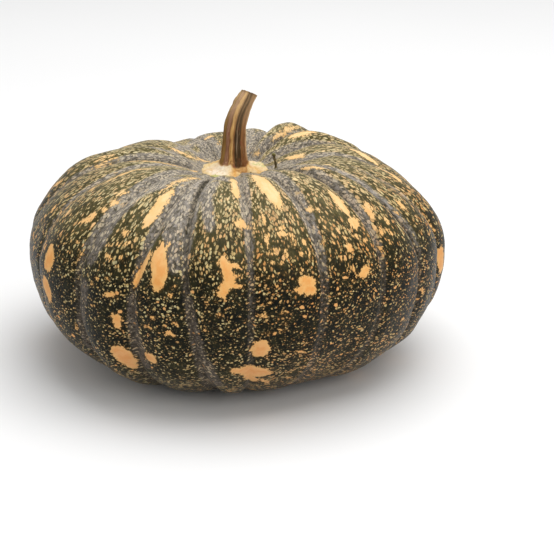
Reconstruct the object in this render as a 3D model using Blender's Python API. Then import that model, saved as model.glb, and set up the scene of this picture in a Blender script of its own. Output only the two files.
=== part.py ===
# Ribbed, flat-topped pumpkin with its woody stem, at real size.
#
# Three grown pieces:
#   fruit          the ribbed body, one solid, with a flat seat in the crown
#                  where the stem joins and a shallow hollow underneath
#   stem           the cut, curved, five-ridged stalk with its spread foot
#   dried_tendril  the little dry stub that stands in a groove by the stem
#
# Units are metres, +Z is up, the ground is z = 0 and the origin is the centre
# of the footprint of the whole thing.  Azimuth 0 faces -Y (the front), and
# grows towards +X.

import math

import bpy
import bmesh
from mathutils import Vector
from mathutils.bvhtree import BVHTree

MM = 0.001

# ---------------------------------------------------------------- dimensions
RADIUS = 135.0 * MM          # growth radius at the widest level
CROWN_RISE = 66.0 * MM       # widest level up to the crown, before its hollow
BASE_DROP = 83.6 * MM        # widest level down to the base, before its hollow
CROWN_HOLLOW = 24.4 * MM     # depth of the hollow round the stem
CROWN_HOLLOW_R = 47.4 * MM   # and its spread
BASE_HOLLOW = 10.0 * MM      # depth of the hollow at the blossom end
BASE_HOLLOW_R = 42.0 * MM    # and its spread
CROWN_ROUND = (2.42, 1.75)   # how boxy the upper half is (outwards, upwards)
BASE_ROUND = (2.74, 2.55)    # how boxy the lower half is
GROUND_DROP = 77.3 * MM      # widest level down to the ground
LEAN_X = 0.013               # the crown stands a little higher on the right
LEAN_Y = -0.030              # and in front

SEAT_R = 22.0 * MM           # flat seat of the stem's foot
SEAT_RISE = 46.2 * MM        # widest level up to that seat
SEAT_BLEND = 9.0 * MM        # the seat runs out into the hollow over this
SCAR_R = 6.0 * MM            # blossom scar underneath

GROOVE = 4.3 * MM            # full depth of a groove between two ribs
GROOVE_POWER = 2.2           # ribs are round, grooves come to a line
CREASE = 1.1 * MM            # narrow crease down the middle of each groove
CREASE_W = 3.0 * MM          # and its half width

AXIS_X = -1.71 * MM          # growth axis from the centre of the footprint
AXIS_Y = 0.77 * MM

GAP = 0.3 * MM               # clearance between touching pieces

# Grooves: azimuth at the widest level and its drift from crown to base, deg.
GROOVES = (
    (4.5, 0.0), (24.0, -7.0), (43.0, -14.0), (60.5, 1.5), (77.0, 0.0),
    (92.5, -10.0), (121.0, -8.0), (141.5, -6.0), (161.5, 4.0), (179.0, 0.0),
    (197.0, -7.0), (222.0, 6.0), (242.0, -12.0), (265.0, -9.0),
    (293.0, 18.0), (314.5, 2.0), (333.0, -7.5), (348.5, 15.5),
)

# Ribs, each from the groove of the same number to the next one:
# swell of the radius, rise of the shoulder, swell of the lower half.
RIBS = (
    (-0.008, 0.010, -0.028), (-0.014, 0.030, -0.052), (-0.003, 0.040, 0.000),
    (0.004, 0.006, 0.000), (0.014, -0.040, 0.000), (-0.014, 0.000, 0.000),
    (-0.010, 0.066, 0.000), (0.010, 0.092, 0.000), (0.000, 0.020, 0.000),
    (-0.004, -0.045, 0.000), (-0.014, -0.108, 0.000), (0.000, -0.024, 0.000),
    (0.010, 0.044, 0.000), (-0.018, -0.026, -0.016), (0.005, 0.000, -0.004),
    (0.009, -0.012, 0.030), (0.006, -0.022, 0.014), (0.004, 0.022, 0.008),
)

# How deep the grooves are down the side: share of the way from crown to
# base, share of the full depth.
GROOVE_DEPTH = ((0.0, 0.0), (0.06, 0.35), (0.16, 1.0), (0.30, 0.95),
                (0.50, 0.62), (0.72, 0.62), (0.88, 0.48), (1.0, 0.0))

# Stem: height above the seat, sideways shift, backward shift, radius (mm).
STEM = (
    (8.5, 0.0, 0.0, 7.6), (13.0, 0.0, 0.1, 7.2), (19.0, 0.2, 0.3, 6.9),
    (25.0, 0.6, 0.6, 6.7), (30.0, 1.3, 1.0, 6.5), (35.0, 2.6, 1.6, 6.2),
    (39.5, 4.4, 2.3, 5.9), (43.5, 6.5, 3.1, 5.6), (46.5, 8.3, 3.8, 5.3),
    (48.8, 9.8, 4.4, 4.9),
)
FOOT = (  # the spread foot: height above the seat, radius (mm), ridge depth
    (0.0, 20.5, 0.10), (0.9, 20.8, 0.11), (1.7, 17.0, 0.14),
    (2.6, 12.2, 0.17), (4.2, 9.6, 0.15), (6.2, 8.5, 0.13),
)
STEM_RIDGES = 5
STEM_RIDGE_AZIMUTH = -6.0    # one ridge faces the front
STEM_RIDGE_DEPTH = 0.11
STEM_SIDES = 30

# Dried tendril: place on the fruit, then height, shift and radius (mm).
TENDRIL_AT = (26.8 * MM, -6.3 * MM)
TENDRIL = ((0.6, 0.0, 0.0, 0.95), (3.0, -0.2, 0.1, 0.75),
           (6.0, -0.6, 0.2, 0.65), (9.0, -1.1, 0.4, 0.70),
           (10.4, -1.4, 0.5, 1.15), (11.4, -1.6, 0.5, 0.85))
TENDRIL_SIDES = 8

RIB_STEPS = (-1.0, -0.74, -0.40, 0.0, 0.40, 0.74)   # columns across one rib
SIDE_ROWS = 31                                      # rows from crown to base


# ------------------------------------------------------------------ materials
def material(name, colour, roughness):
    mat = bpy.data.materials.new(name)
    mat.use_nodes = True
    shader = mat.node_tree.nodes["Principled BSDF"]
    shader.inputs["Base Color"].default_value = (*colour, 1.0)
    shader.inputs["Roughness"].default_value = roughness
    shader.inputs["Metallic"].default_value = 0.0
    mat.diffuse_color = (*colour, 1.0)
    return mat


# ------------------------------------------------------------------- geometry
def ramp(table, x):
    """Straight-line interpolation in a table of (x, y)."""
    if x <= table[0][0]:
        return table[0][1]
    for (x0, y0), (x1, y1) in zip(table, table[1:]):
        if x <= x1:
            return y0 + (y1 - y0) * (x - x0) / (x1 - x0)
    return table[-1][1]


def ease(x):
    x = min(1.0, max(0.0, x))
    return x * x * (3.0 - 2.0 * x)


def outline(t):
    """Radius and height of the smooth body; t runs 0 crown, 0.5 side, 1 base."""
    if t <= 0.5:
        a = t * math.pi
        s, c = math.sin(a), math.cos(a)
        r = RADIUS * s ** (2.0 / CROWN_ROUND[0])
        z = CROWN_RISE * max(c, 0.0) ** (2.0 / CROWN_ROUND[1])
        z -= CROWN_HOLLOW * math.exp(-(r / CROWN_HOLLOW_R) ** 2)
    else:
        a = (1.0 - t) * math.pi
        s, c = math.sin(a), math.cos(a)
        r = RADIUS * s ** (2.0 / BASE_ROUND[0])
        z = -BASE_DROP * max(c, 0.0) ** (2.0 / BASE_ROUND[1])
        z += BASE_HOLLOW * math.exp(-(r / BASE_HOLLOW_R) ** 2)
    return r, z


def outline_normal(t):
    h = 0.0005
    r0, z0 = outline(max(t - h, 1e-6))
    r1, z1 = outline(min(t + h, 1.0 - 1e-6))
    length = math.hypot(r1 - r0, z1 - z0)
    return (z0 - z1) / length, (r1 - r0) / length


def groove_angle(i, t):
    azimuth, drift = GROOVES[i % len(GROOVES)]
    turn = 360.0 * (i // len(GROOVES))
    return math.radians(azimuth + turn + drift * (t - 0.5))


def skin_point(rib, u, t):
    """A point of the skin: rib number, place across it (-1..1), and t."""
    left = groove_angle(rib, t)
    right = groove_angle(rib + 1, t)
    half = 0.5 * (right - left)
    azimuth = left + (u + 1.0) * half
    swell, rise, low = RIBS[rib % len(RIBS)]
    r, z = outline(t)
    nr, nz = outline_normal(t)
    crown = 1.0 - u * u
    depth = ramp(GROOVE_DEPTH, t)
    side = (1.0 - abs(u)) * half * r
    dent = GROOVE * depth * abs(u) ** GROOVE_POWER
    dent += CREASE * depth * math.exp(-(side / CREASE_W) ** 2)
    fat = swell * math.sin(math.pi * t)
    fat += low * ramp(((0.5, 0.0), (0.68, 1.0), (0.95, 1.0), (1.0, 0.0)), t)
    r1 = r * (1.0 + crown * fat) - nr * dent
    z1 = z * (1.0 + crown * (rise if t < 0.5 else 0.0)) - nz * dent
    x, y = r1 * math.sin(azimuth), -r1 * math.cos(azimuth)
    lean = ramp(((0.0, 1.0), (0.4, 1.0), (0.8, 0.0), (1.0, 0.0)), t)
    z1 += lean * (LEAN_X * x + LEAN_Y * y)
    if t < 0.5:
        k = ease((r1 - SEAT_R) / SEAT_BLEND)
        z1 = SEAT_RISE * (1.0 - k) + z1 * k
    return Vector((x + AXIS_X, y + AXIS_Y, max(z1 + GROUND_DROP, 0.0)))


def rows(count):
    """Values of t evenly spaced along the outline, seat rim to scar."""
    fine = [i / 4000.0 for i in range(4001)]
    pts = [outline(t) for t in fine]
    first = next(i for i, p in enumerate(pts) if p[0] >= SEAT_R)
    last = max(i for i, p in enumerate(pts) if p[0] >= SCAR_R)
    run = [0.0]
    for i in range(first + 1, last + 1):
        run.append(run[-1] + math.dist(pts[i], pts[i - 1]))
    out = []
    j = 0
    for k in range(count):
        goal = run[-1] * k / (count - 1)
        while j < len(run) - 1 and run[j] < goal:
            j += 1
        out.append(fine[first + j])
    return out


def add_ring(bm, points):
    return [bm.verts.new(p) for p in points]


def close_rings(bm, rings):
    """Skin a stack of equal rings, top ring first, and close both ends."""
    n = len(rings[0])
    for upper, lower in zip(rings, rings[1:]):
        for i in range(n):
            j = (i + 1) % n
            bm.faces.new((upper[i], lower[i], lower[j], upper[j]))
    for ring, flip in ((rings[0], False), (rings[-1], True)):
        centre = bm.verts.new(sum((v.co for v in ring), Vector()) / n)
        for i in range(n):
            j = (i + 1) % n
            tri = (ring[j], centre, ring[i]) if not flip else (ring[i], centre, ring[j])
            bm.faces.new(tri)


def finish(bm, name, mat, sharp_deg):
    bmesh.ops.recalc_face_normals(bm, faces=bm.faces[:])
    if bm.calc_volume(signed=True) < 0.0:
        bmesh.ops.reverse_faces(bm, faces=bm.faces[:])
    mesh = bpy.data.meshes.new(name)
    bm.to_mesh(mesh)
    bm.free()
    mesh.materials.append(mat)
    mesh.shade_smooth()
    mesh.set_sharp_from_angle(angle=math.radians(sharp_deg))
    obj = bpy.data.objects.new(name, mesh)
    bpy.context.scene.collection.objects.link(obj)
    return obj


def make_fruit(mat):
    bm = bmesh.new()
    rings = []
    for t in rows(SIDE_ROWS):
        rings.append(add_ring(bm, [skin_point(rib, u, t)
                                   for rib in range(len(GROOVES))
                                   for u in RIB_STEPS]))
    # the seat rim is exactly level
    for v in rings[0]:
        v.co.z = SEAT_RISE + GROUND_DROP
    close_rings(bm, rings)
    return finish(bm, "fruit", mat, 40.0)


def ridged(radius, depth, angle):
    wave = math.cos(STEM_RIDGES * (angle - math.radians(STEM_RIDGE_AZIMUTH)))
    return radius * (1.0 + depth * (wave if wave > 0.0 else 0.6 * wave))


def make_stem(mat):
    bm = bmesh.new()
    base = Vector((AXIS_X, AXIS_Y, SEAT_RISE + GROUND_DROP + GAP))
    turns = [2.0 * math.pi * i / STEM_SIDES for i in range(STEM_SIDES)]
    rings = []
    for z, radius, depth in FOOT:
        rings.append(add_ring(bm, [
            base + Vector((ridged(radius, depth, a) * math.sin(a) * MM,
                           -ridged(radius, depth, a) * math.cos(a) * MM,
                           z * MM)) for a in turns]))
    centres = [base + Vector((x, y, z)) * MM for z, x, y, _ in STEM]
    for i, (z, x, y, radius) in enumerate(STEM):
        ahead = centres[min(i + 1, len(STEM) - 1)] - centres[max(i - 1, 0)]
        up = ahead.normalized()
        if i == len(STEM) - 1:      # the knife cut, leaning right and back
            up = Vector((0.36, 0.34, 0.87)).normalized()
        right = (Vector((1.0, 0.0, 0.0)) - up * up.x).normalized()
        back = up.cross(right)
        ring = []
        for a in turns:
            q = ridged(radius, STEM_RIDGE_DEPTH, a) * MM
            ring.append(centres[i] + right * (q * math.sin(a)) - back * (q * math.cos(a)))
        rings.append(add_ring(bm, ring))
    close_rings(bm, rings[::-1])
    return finish(bm, "stem", mat, 50.0)


def make_tendril(mat, fruit):
    """Its foot follows the fruit's skin at the usual clearance."""
    fb = bmesh.new()
    fb.from_mesh(fruit.data)
    tree = BVHTree.FromBMesh(fb)
    bm = bmesh.new()
    cx, cy = TENDRIL_AT[0] + AXIS_X, TENDRIL_AT[1] + AXIS_Y

    def skin_z(x, y):
        return tree.ray_cast(Vector((x, y, 1.0)), Vector((0.0, 0.0, -1.0)))[0].z

    floor = skin_z(cx, cy)
    turns = [2.0 * math.pi * i / TENDRIL_SIDES for i in range(TENDRIL_SIDES)]
    foot = []
    for a in turns:
        x, y = cx + 1.1 * MM * math.cos(a), cy + 1.1 * MM * math.sin(a)
        foot.append(Vector((x, y, skin_z(x, y) + GAP)))
    rings = [add_ring(bm, foot)]
    lift = max(p.z for p in foot) - floor
    for z, x, y, radius in TENDRIL:
        c = Vector((cx + x * MM, cy + y * MM, floor + lift + z * MM))
        rings.append(add_ring(bm, [c + Vector((math.cos(a), math.sin(a), 0.0)) * radius * MM
                                   for a in turns]))
    fb.free()
    close_rings(bm, rings[::-1])
    return finish(bm, "dried_tendril", mat, 50.0)


def main():
    for obj in list(bpy.data.objects):
        bpy.data.objects.remove(obj, do_unlink=True)
    rind = material("rind", (0.065, 0.075, 0.035), 0.45)
    stalk = material("stalk", (0.30, 0.17, 0.07), 0.65)
    dry = material("dry_stub", (0.09, 0.07, 0.03), 0.8)
    fruit = make_fruit(rind)
    make_stem(stalk)
    make_tendril(dry, fruit)


main()
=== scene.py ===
# Looks of the ribbed pumpkin: mottled rind, woody stem and its dry stub, a
# plain pale floor, soft studio light and the camera.
#
# Units are metres, +Z is up.  Azimuth 0 faces -Y (the front) and grows to +X;
# t runs down the side of the fruit, 0 at the crown and 1 at the base.

import math

import bpy
import numpy as np
from mathutils import Matrix, Vector


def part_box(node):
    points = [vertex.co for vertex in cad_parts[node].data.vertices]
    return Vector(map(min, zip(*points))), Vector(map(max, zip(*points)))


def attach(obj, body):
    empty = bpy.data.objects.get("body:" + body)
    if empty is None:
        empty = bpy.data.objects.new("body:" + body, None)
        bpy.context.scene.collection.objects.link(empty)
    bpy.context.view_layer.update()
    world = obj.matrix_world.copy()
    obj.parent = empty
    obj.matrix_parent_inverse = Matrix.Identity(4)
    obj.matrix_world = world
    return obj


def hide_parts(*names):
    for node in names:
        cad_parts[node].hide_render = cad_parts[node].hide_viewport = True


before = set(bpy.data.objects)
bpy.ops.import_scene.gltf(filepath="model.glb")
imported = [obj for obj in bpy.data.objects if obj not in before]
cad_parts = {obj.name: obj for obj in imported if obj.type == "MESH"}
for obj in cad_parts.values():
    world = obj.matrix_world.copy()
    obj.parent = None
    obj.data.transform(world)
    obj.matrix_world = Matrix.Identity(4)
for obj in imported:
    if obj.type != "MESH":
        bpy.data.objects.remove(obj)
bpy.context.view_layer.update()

MM = 0.001
rng = np.random.default_rng(11)

# ------------------------------------------------- shape of the fruit (as CAD)
RADIUS, CROWN_RISE, BASE_DROP = 135.0 * MM, 66.0 * MM, 83.6 * MM
CROWN_HOLLOW, CROWN_HOLLOW_R = 24.4 * MM, 47.4 * MM
BASE_HOLLOW, BASE_HOLLOW_R = 10.0 * MM, 42.0 * MM
CROWN_ROUND, BASE_ROUND = (2.42, 1.75), (2.74, 2.55)
GROUND_DROP = 77.3 * MM
LEAN_X, LEAN_Y = 0.013, -0.030
SEAT_R, SEAT_RISE, SEAT_BLEND, SCAR_R = 22.0 * MM, 46.2 * MM, 9.0 * MM, 6.0 * MM
GROOVE, GROOVE_POWER, CREASE, CREASE_W = 4.3 * MM, 2.2, 1.1 * MM, 3.0 * MM
AXIS_X, AXIS_Y = -1.71 * MM, 0.77 * MM
SEAT_Z = SEAT_RISE + GROUND_DROP

# azimuth at the widest level, drift from crown to base (deg), width of the
# grey band in the groove and depth of its crease, which also sets the painted shade and painted highlight along it
# (shares of the usual)
GROOVES = (
    (4.5, 0.0, 0.80, 0.2), (24.0, -7.0, 1.10, 0.3), (43.0, -14.0, 0.95, 0.3),
    (60.5, 1.5, 1.10, 1.0), (77.0, 0.0, 0.70, 0.3), (92.5, -10.0, 0.85, 0.3),
    (121.0, -8.0, 0.60, 0.2), (141.5, -6.0, 0.80, 0.4), (161.5, 4.0, 1.20, 0.4),
    (179.0, 0.0, 0.90, 0.5), (197.0, -7.0, 1.20, 0.5), (222.0, 6.0, 0.80, 0.4),
    (242.0, -12.0, 0.95, 0.8), (265.0, -9.0, 0.90, 0.6), (293.0, 18.0, 0.90, 0.3),
    (314.5, 2.0, 1.20, 0.3), (333.0, -7.5, 1.10, 0.3), (348.5, 15.5, 0.95, 0.7),
)
# swell of the radius, rise of the shoulder, swell of the lower half
RIBS = (
    (-0.008, 0.010, -0.028), (-0.014, 0.030, -0.052), (-0.003, 0.040, 0.000),
    (0.004, 0.006, 0.000), (0.014, -0.040, 0.000), (-0.014, 0.000, 0.000),
    (-0.010, 0.066, 0.000), (0.010, 0.092, 0.000), (0.000, 0.020, 0.000),
    (-0.004, -0.045, 0.000), (-0.014, -0.108, 0.000), (0.000, -0.024, 0.000),
    (0.010, 0.044, 0.000), (-0.018, -0.026, -0.016), (0.005, 0.000, -0.004),
    (0.009, -0.012, 0.030), (0.006, -0.022, 0.014), (0.004, 0.022, 0.008),
)
GROOVE_DEPTH = ((0.0, 0.0), (0.06, 0.35), (0.16, 1.0), (0.30, 0.95),
                (0.50, 0.62), (0.72, 0.62), (0.88, 0.48), (1.0, 0.0))

# Pale marks on the rind, each a brush stroke of a few stops:
# (azimuth in degrees, 100 t, width in mm).
MARKS = (
    ((331.2, 17.3, 3.5), (330.9, 20.5, 6.6), (331.3, 23.8, 6.4), (331, 26.7, 5.8), (331, 28.6, 2.5)),
    ((327.6, 18.9, 1), (328.1, 16.6, 1.6), (328.3, 14.8, 2.2), (329.6, 13, 2.8), (331.1, 11.2, 2.5), (333.2, 9.2, 1.3)),
    ((339.1, 32, 2.6), (339.4, 33.6, 6.1), (339.1, 35.5, 10.1), (339.9, 38.1, 11), (340.4, 40.6, 10.4), (340.1, 43.1, 8.6), (340.1, 44.6, 4.5)),
    ((340.1, 34, 3.4), (341.2, 32, 1)),
    ((336.1, 34.8, 2.9), (335.3, 37.6, 6.7), (334.8, 39.4, 6.3), (334.2, 41.5, 5.9), (333.4, 43.9, 4.5), (333, 46, 1.2)),
    ((356.7, 34.8, 1.5), (357.1, 36.4, 6.5), (357.6, 37.9, 6.5), (358.5, 39.7, 7.1), (358.7, 41.9, 7.6), (357.7, 43.5, 7), (357, 45.3, 5.3), (357.8, 46.8, 1.8)),
    ((359.2, 37.6, 4.3), (1.3, 37.5, 2.8)),
    ((359.5, 40.5, 4.1), (1.6, 40.2, 2.1)),
    ((359.5, 43, 3.5), (1.8, 42.8, 2.6)),
    ((355.3, 36.7, 1.5), (356.6, 37.2, 3)),
    ((355.7, 44.1, 2.3), (357, 43.8, 3.5)),
    ((17.8, 42.9, 5.9), (20.3, 43.2, 6.8)),
    ((17, 45.5, 5.9), (20.1, 45.5, 8.3)),
    ((15.7, 45.6, 3), (17.3, 45.5, 5.4)),
    ((37.6, 43.1, 5.5), (36.4, 44, 6.5), (34.6, 44.5, 2.5)),
    ((1, 26.5, 4.5), (3, 26.1, 7.4)),
    ((14, 8.8, 3), (14.5, 11.9, 6.8), (14.9, 15.3, 9.4), (15.5, 17.7, 10.4), (16.3, 20, 8), (16.5, 21.8, 6.1), (16.5, 23.6, 3)),
    ((0, 11.9, 4.8), (0.3, 15.1, 5.4), (1.1, 17.1, 6.1), (1.3, 18.5, 2.3)),
    ((40.2, 21.1, 2.6), (40.2, 23, 6.2), (40, 24.8, 7.5), (40.1, 26.6, 7.1), (39.8, 28, 2.4)),
    ((49.6, 26.1, 2.1), (49.6, 27, 4.1), (48.9, 28.6, 5.2), (48.6, 29.9, 3.3), (48.7, 30.6, 1)),
    ((40.1, 29.4, 4.2), (40.1, 30.3, 8.9), (39.7, 31.3, 5.3)),
    ((34, 36, 5), (33.9, 37.1, 4.3)),
    ((300.2, 39.8, 2.4), (301.1, 41.1, 7.4), (302.1, 43.4, 11.4), (302.3, 45.6, 10.5), (302.8, 47.3, 5.3)),
    ((300.3, 50.7, 6), (300.8, 51.4, 9.9), (301.7, 52.6, 10.3), (302, 54, 5.5)),
    ((297.9, 51.1, 1.9), (299, 52.5, 2.5)),
    ((324.9, 50, 1.5), (326.2, 49.5, 3.6), (327.6, 49.1, 4), (328.7, 48.9, 1.5)),
    ((328.1, 52.7, 4.3), (328.8, 53.2, 6.8), (328.9, 54.4, 5.8)),
    ((326.3, 61.5, 4.1), (327.7, 61.3, 10.6), (328.8, 63.1, 11.9), (329.6, 65.2, 10), (329.9, 67, 5.7)),
    ((336.2, 61.5, 6.7), (337.2, 61.8, 8.6)),
    ((5.8, 58.6, 6.6), (7.1, 58, 10.8), (8.5, 58.2, 6.7)),
    ((6.8, 56.4, 2.8), (8.4, 56.7, 3.6)),
    ((6.2, 59.7, 5.6), (7.7, 59.3, 6.6)),
    ((0, 63.6, 5.4), (2.2, 64.1, 7.7), (5.2, 65.8, 12), (8.1, 65.9, 9.9), (10.6, 66.4, 4.4)),
    ((3.8, 67.7, 5.3), (6.1, 69.4, 6)),
    ((8.2, 69.1, 3.3), (11, 71.6, 2.9)),
    ((306.3, 31.7, 1.7), (307.3, 31, 4.2), (308.6, 30.2, 3.9), (308.9, 29, 5.1), (308.9, 28.1, 1.7)),
    ((310.2, 26.7, 3.3), (311.1, 26.1, 3.1)),
    ((325.3, 30.8, 3.9), (326, 30.5, 3.1), (326.3, 31.7, 1.7)),
    ((323.3, 37.2, 1.9), (324.3, 37.8, 3.7), (325.3, 38.5, 1.8)),
    ((327.9, 36.9, 1.9), (328.4, 38.1, 1.9)),
    ((264.1, 19.5, 1.1), (264.6, 18.4, 2.2), (265.1, 17.2, 2), (265.2, 16.4, 0.8)),
    ((261.4, 19.6, 2), (262.7, 17.6, 2.2)),
    ((146.9, 8.7, 1.7), (146.8, 9.8, 3), (146.9, 11.4, 3.7), (147.1, 13.6, 3.8), (147.3, 15.8, 3), (147.7, 18.4, 1.5)),
    ((132.8, 9.6, 2), (132.9, 10.5, 4.4), (132.1, 11.9, 5.2), (131.8, 13.6, 5), (131.8, 15.1, 2.6)),
    ((105.3, 17.7, 3), (104.2, 18.9, 4.6), (102.5, 20.2, 7), (100.6, 21.6, 6.4), (98.9, 23.1, 3)),
    ((89.5, 21.2, 1.9), (88.9, 22.9, 2.9), (87.5, 24.4, 3.9), (85.6, 25.8, 4.4), (83.9, 26.9, 3.4)),
    ((65.5, 29.4, 2.1), (65.7, 30.6, 4.4), (66.1, 31.7, 2.8)),
    ((61.9, 30.4, 1), (62.1, 31.5, 2.9), (61.9, 32.4, 1.1)),
    ((77, 36.5, 1.8), (77.5, 38.2, 2.6), (77.8, 40, 2.6), (78.4, 43, 1.9)),
    ((109.6, 6.3, 3.1), (105.1, 7, 4.6), (103.5, 7.8, 5), (102.4, 8.5, 4.7)),
    ((190.3, 10.7, 1.3), (191.9, 8.5, 1.7)),
    ((197.1, 12.6, 4), (194.3, 12.8, 4.6)),
    ((147.2, 5.3, 1.4), (148.3, 4.6, 2)),
    ((6.7, 25.9, 1.3), (6.5, 27.5, 2.3), (6.3, 28.8, 1.3)),
    ((10, 28.8, 1.5), (9.7, 30.3, 2.4), (9.6, 32.2, 2.4), (9.8, 33, 1.5)),
    ((9.9, 23.9, 1.2), (10.1, 25.4, 2.4), (10.1, 26.7, 2.1)),
    ((13.8, 28.5, 2.2), (15.1, 28.6, 3.6)),
    ((13.7, 30.1, 3.3), (14.7, 29.9, 3.3)),
    ((16.4, 30.5, 2.9), (17.2, 30.8, 4.4)),
    ((20.6, 32.2, 3.1), (21, 33.1, 3.1)),
    ((17.1, 33.2, 2.9),),
    ((11.1, 33.7, 2.6), (12.2, 34.1, 2.6)),
    ((9.5, 35, 1.3), (11.2, 35, 2.5)),
    ((14.7, 34.3, 1.8), (14.7, 35.9, 2.1)),
    ((19.1, 35.6, 2.9),),
    ((21.6, 34.6, 2.2), (21.5, 36.1, 2.3)),
    ((12.7, 37.8, 3),),
    ((10.3, 37.3, 2.4),),
    ((18.2, 39.9, 2.8),),
    ((12.1, 40.2, 1.2), (13.4, 40.4, 2.1)),
    ((8.6, 41.2, 1.2), (10, 40.9, 2.4)),
    ((11.1, 43.6, 2.4),),
    ((6.3, 41.1, 2.7),),
    ((8.4, 49.3, 1.8), (9.4, 48.6, 2.4)),
    ((12, 51.1, 2.7), (12.7, 50.8, 2.7)),
    ((13.4, 52.9, 2.6),),
    ((11.9, 54.1, 1.4), (12.9, 54.2, 2.4)),
    ((5.9, 51.3, 1.9), (7.1, 51.3, 2.9), (8.4, 51.3, 1.6)),
    ((7.5, 54.6, 1), (8.8, 54.5, 1.8), (9.8, 54.6, 1.4)),
    ((356.3, 50.8, 3),),
    ((353, 48.3, 2.4),),
    ((355.3, 48.2, 1.8),),
    ((352.8, 53.4, 2.3),),
    ((342.9, 54.6, 2.5), (343.7, 54.4, 3.4), (344.7, 55, 2.3)),
    ((344.6, 52.3, 1.3), (345.3, 52.6, 2.5), (345.8, 53, 1.2)),
    ((339.1, 51.9, 3.3),),
    ((343.8, 46.3, 2.7),),
    ((344.1, 44.3, 1.2), (344.8, 43.6, 1.8)),
    ((337.5, 53.5, 2), (338.1, 54, 2)),
    ((321.6, 51.6, 2.6),),
    ((312.3, 57.6, 1.6), (311.9, 59.1, 2.5)),
    ((322.1, 44.4, 1.9), (322.8, 44.6, 1.9)),
    ((325.6, 43.7, 2.3),),
    ((320.7, 47, 1.6), (321.7, 46.2, 1.6)),
    ((331.8, 34.6, 2.2),),
    ((321.9, 34.9, 2), (322.9, 34.7, 2.7)),
    ((325.1, 34.1, 2.5),),
    ((327.6, 33.9, 2.1), (328.5, 33.2, 2.8)),
    ((309.1, 36.6, 1.3), (310.3, 36.2, 2)),
    ((312.9, 39.4, 2), (313.2, 38.2, 1.9)),
    ((308.9, 39.8, 2.2),),
    ((309.2, 33.4, 2.5),),
    ((309.6, 22, 1.7), (309.9, 20.8, 3.9), (310.5, 19.8, 2.5)),
    ((311, 24.5, 2.2), (310.9, 23.5, 3.7), (310.7, 22.6, 1.5)),
    ((288, 31.4, 1.9), (289.6, 32.2, 2.6)),
    ((284.6, 33.6, 3.2), (284.1, 32.6, 3.2)),
    ((282.7, 35.9, 3.6),),
    ((33.6, 33.5, 2.1), (34.5, 33.8, 2.8)),
    ((37.5, 33.9, 3.3),),
    ((38.9, 35.3, 1.7), (40.3, 35.5, 3.2)),
    ((30.8, 32.4, 2.3),),
    ((29.5, 29.4, 1.8), (29.3, 30.4, 1.8)),
    ((27.7, 23.6, 1.9), (28.1, 24.5, 2.2)),
    ((30.4, 24.9, 2), (30.7, 25.9, 1.4)),
    ((30.4, 27.2, 2.3),),
    ((30.5, 38, 2), (30.5, 39.1, 2.7)),
    ((28.9, 41.7, 2.2),),
    ((33.4, 42.3, 2.5), (33.8, 43.5, 2.1)),
    ((32.5, 45.6, 2.3),),
    ((48.1, 33.6, 2), (47.9, 34.7, 3.4)),
    ((45.3, 37.6, 2.5), (45.5, 39, 2.5)),
    ((49.1, 37.9, 2.8),),
    ((52.1, 31.9, 1.9), (51.8, 33.3, 3.3)),
    ((50.6, 34.9, 2.5), (50.5, 36, 2.6)),
    ((31.5, 42.1, 1.9),),
    ((27.2, 31.9, 1.5), (27, 32.9, 1.8)),
    ((29.9, 34.2, 2.2),),
    ((281, 4, 1.5), (279.8, 5, 1.8), (278.6, 6.3, 1.9), (277.6, 7.7, 1.9), (277.4, 9.2, 2.1), (276.5, 10.8, 2.2), (274.9, 12.4, 2.2), (273.4, 14.5, 1.9), (266.3, 17.1, 1.8), (266, 19.6, 2.2), (265.9, 21.4, 1.6)),
    ((300.6, 12.5, 2.2), (297.6, 13.9, 1.8), (296.6, 15.7, 2.1), (296.7, 17.7, 2.2), (296.5, 20.2, 2.2), (295.8, 22.6, 2.2), (295.5, 24.8, 2.2)),
    ((294.6, 26.8, 1.7), (293.6, 29.4, 1.8), (293.2, 32, 1.7), (293.9, 34.7, 1.8), (294.6, 37.7, 1.9), (295.4, 40.7, 2.2), (295.6, 44.7, 2.1), (295.1, 48, 1.6)),
    ((50.8, 10.7, 1), (51.6, 11.9, 2.1), (53, 13.7, 2.3), (55.2, 15.1, 1.9), (55.2, 16.1, 1)),
    ((235.9, 10.3, 1.6), (235, 8.4, 2.9), (234.8, 6.6, 3.1), (231.6, 5.5, 2.3)),
    ((226.9, 6, 1.5), (225, 4.8, 2.4), (224.5, 3.7, 1.8)),
    ((279.5, 43, 3), (282, 44.1, 2.8)),
    ((285.5, 45.9, 3.2), (285.9, 49, 1.9)),
    ((260.8, 33.7, 1.9), (261.7, 31.7, 4.4), (262.7, 30, 3)),
    ((262.5, 19.5, 1.9), (263.7, 21, 2.2)),
)
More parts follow.
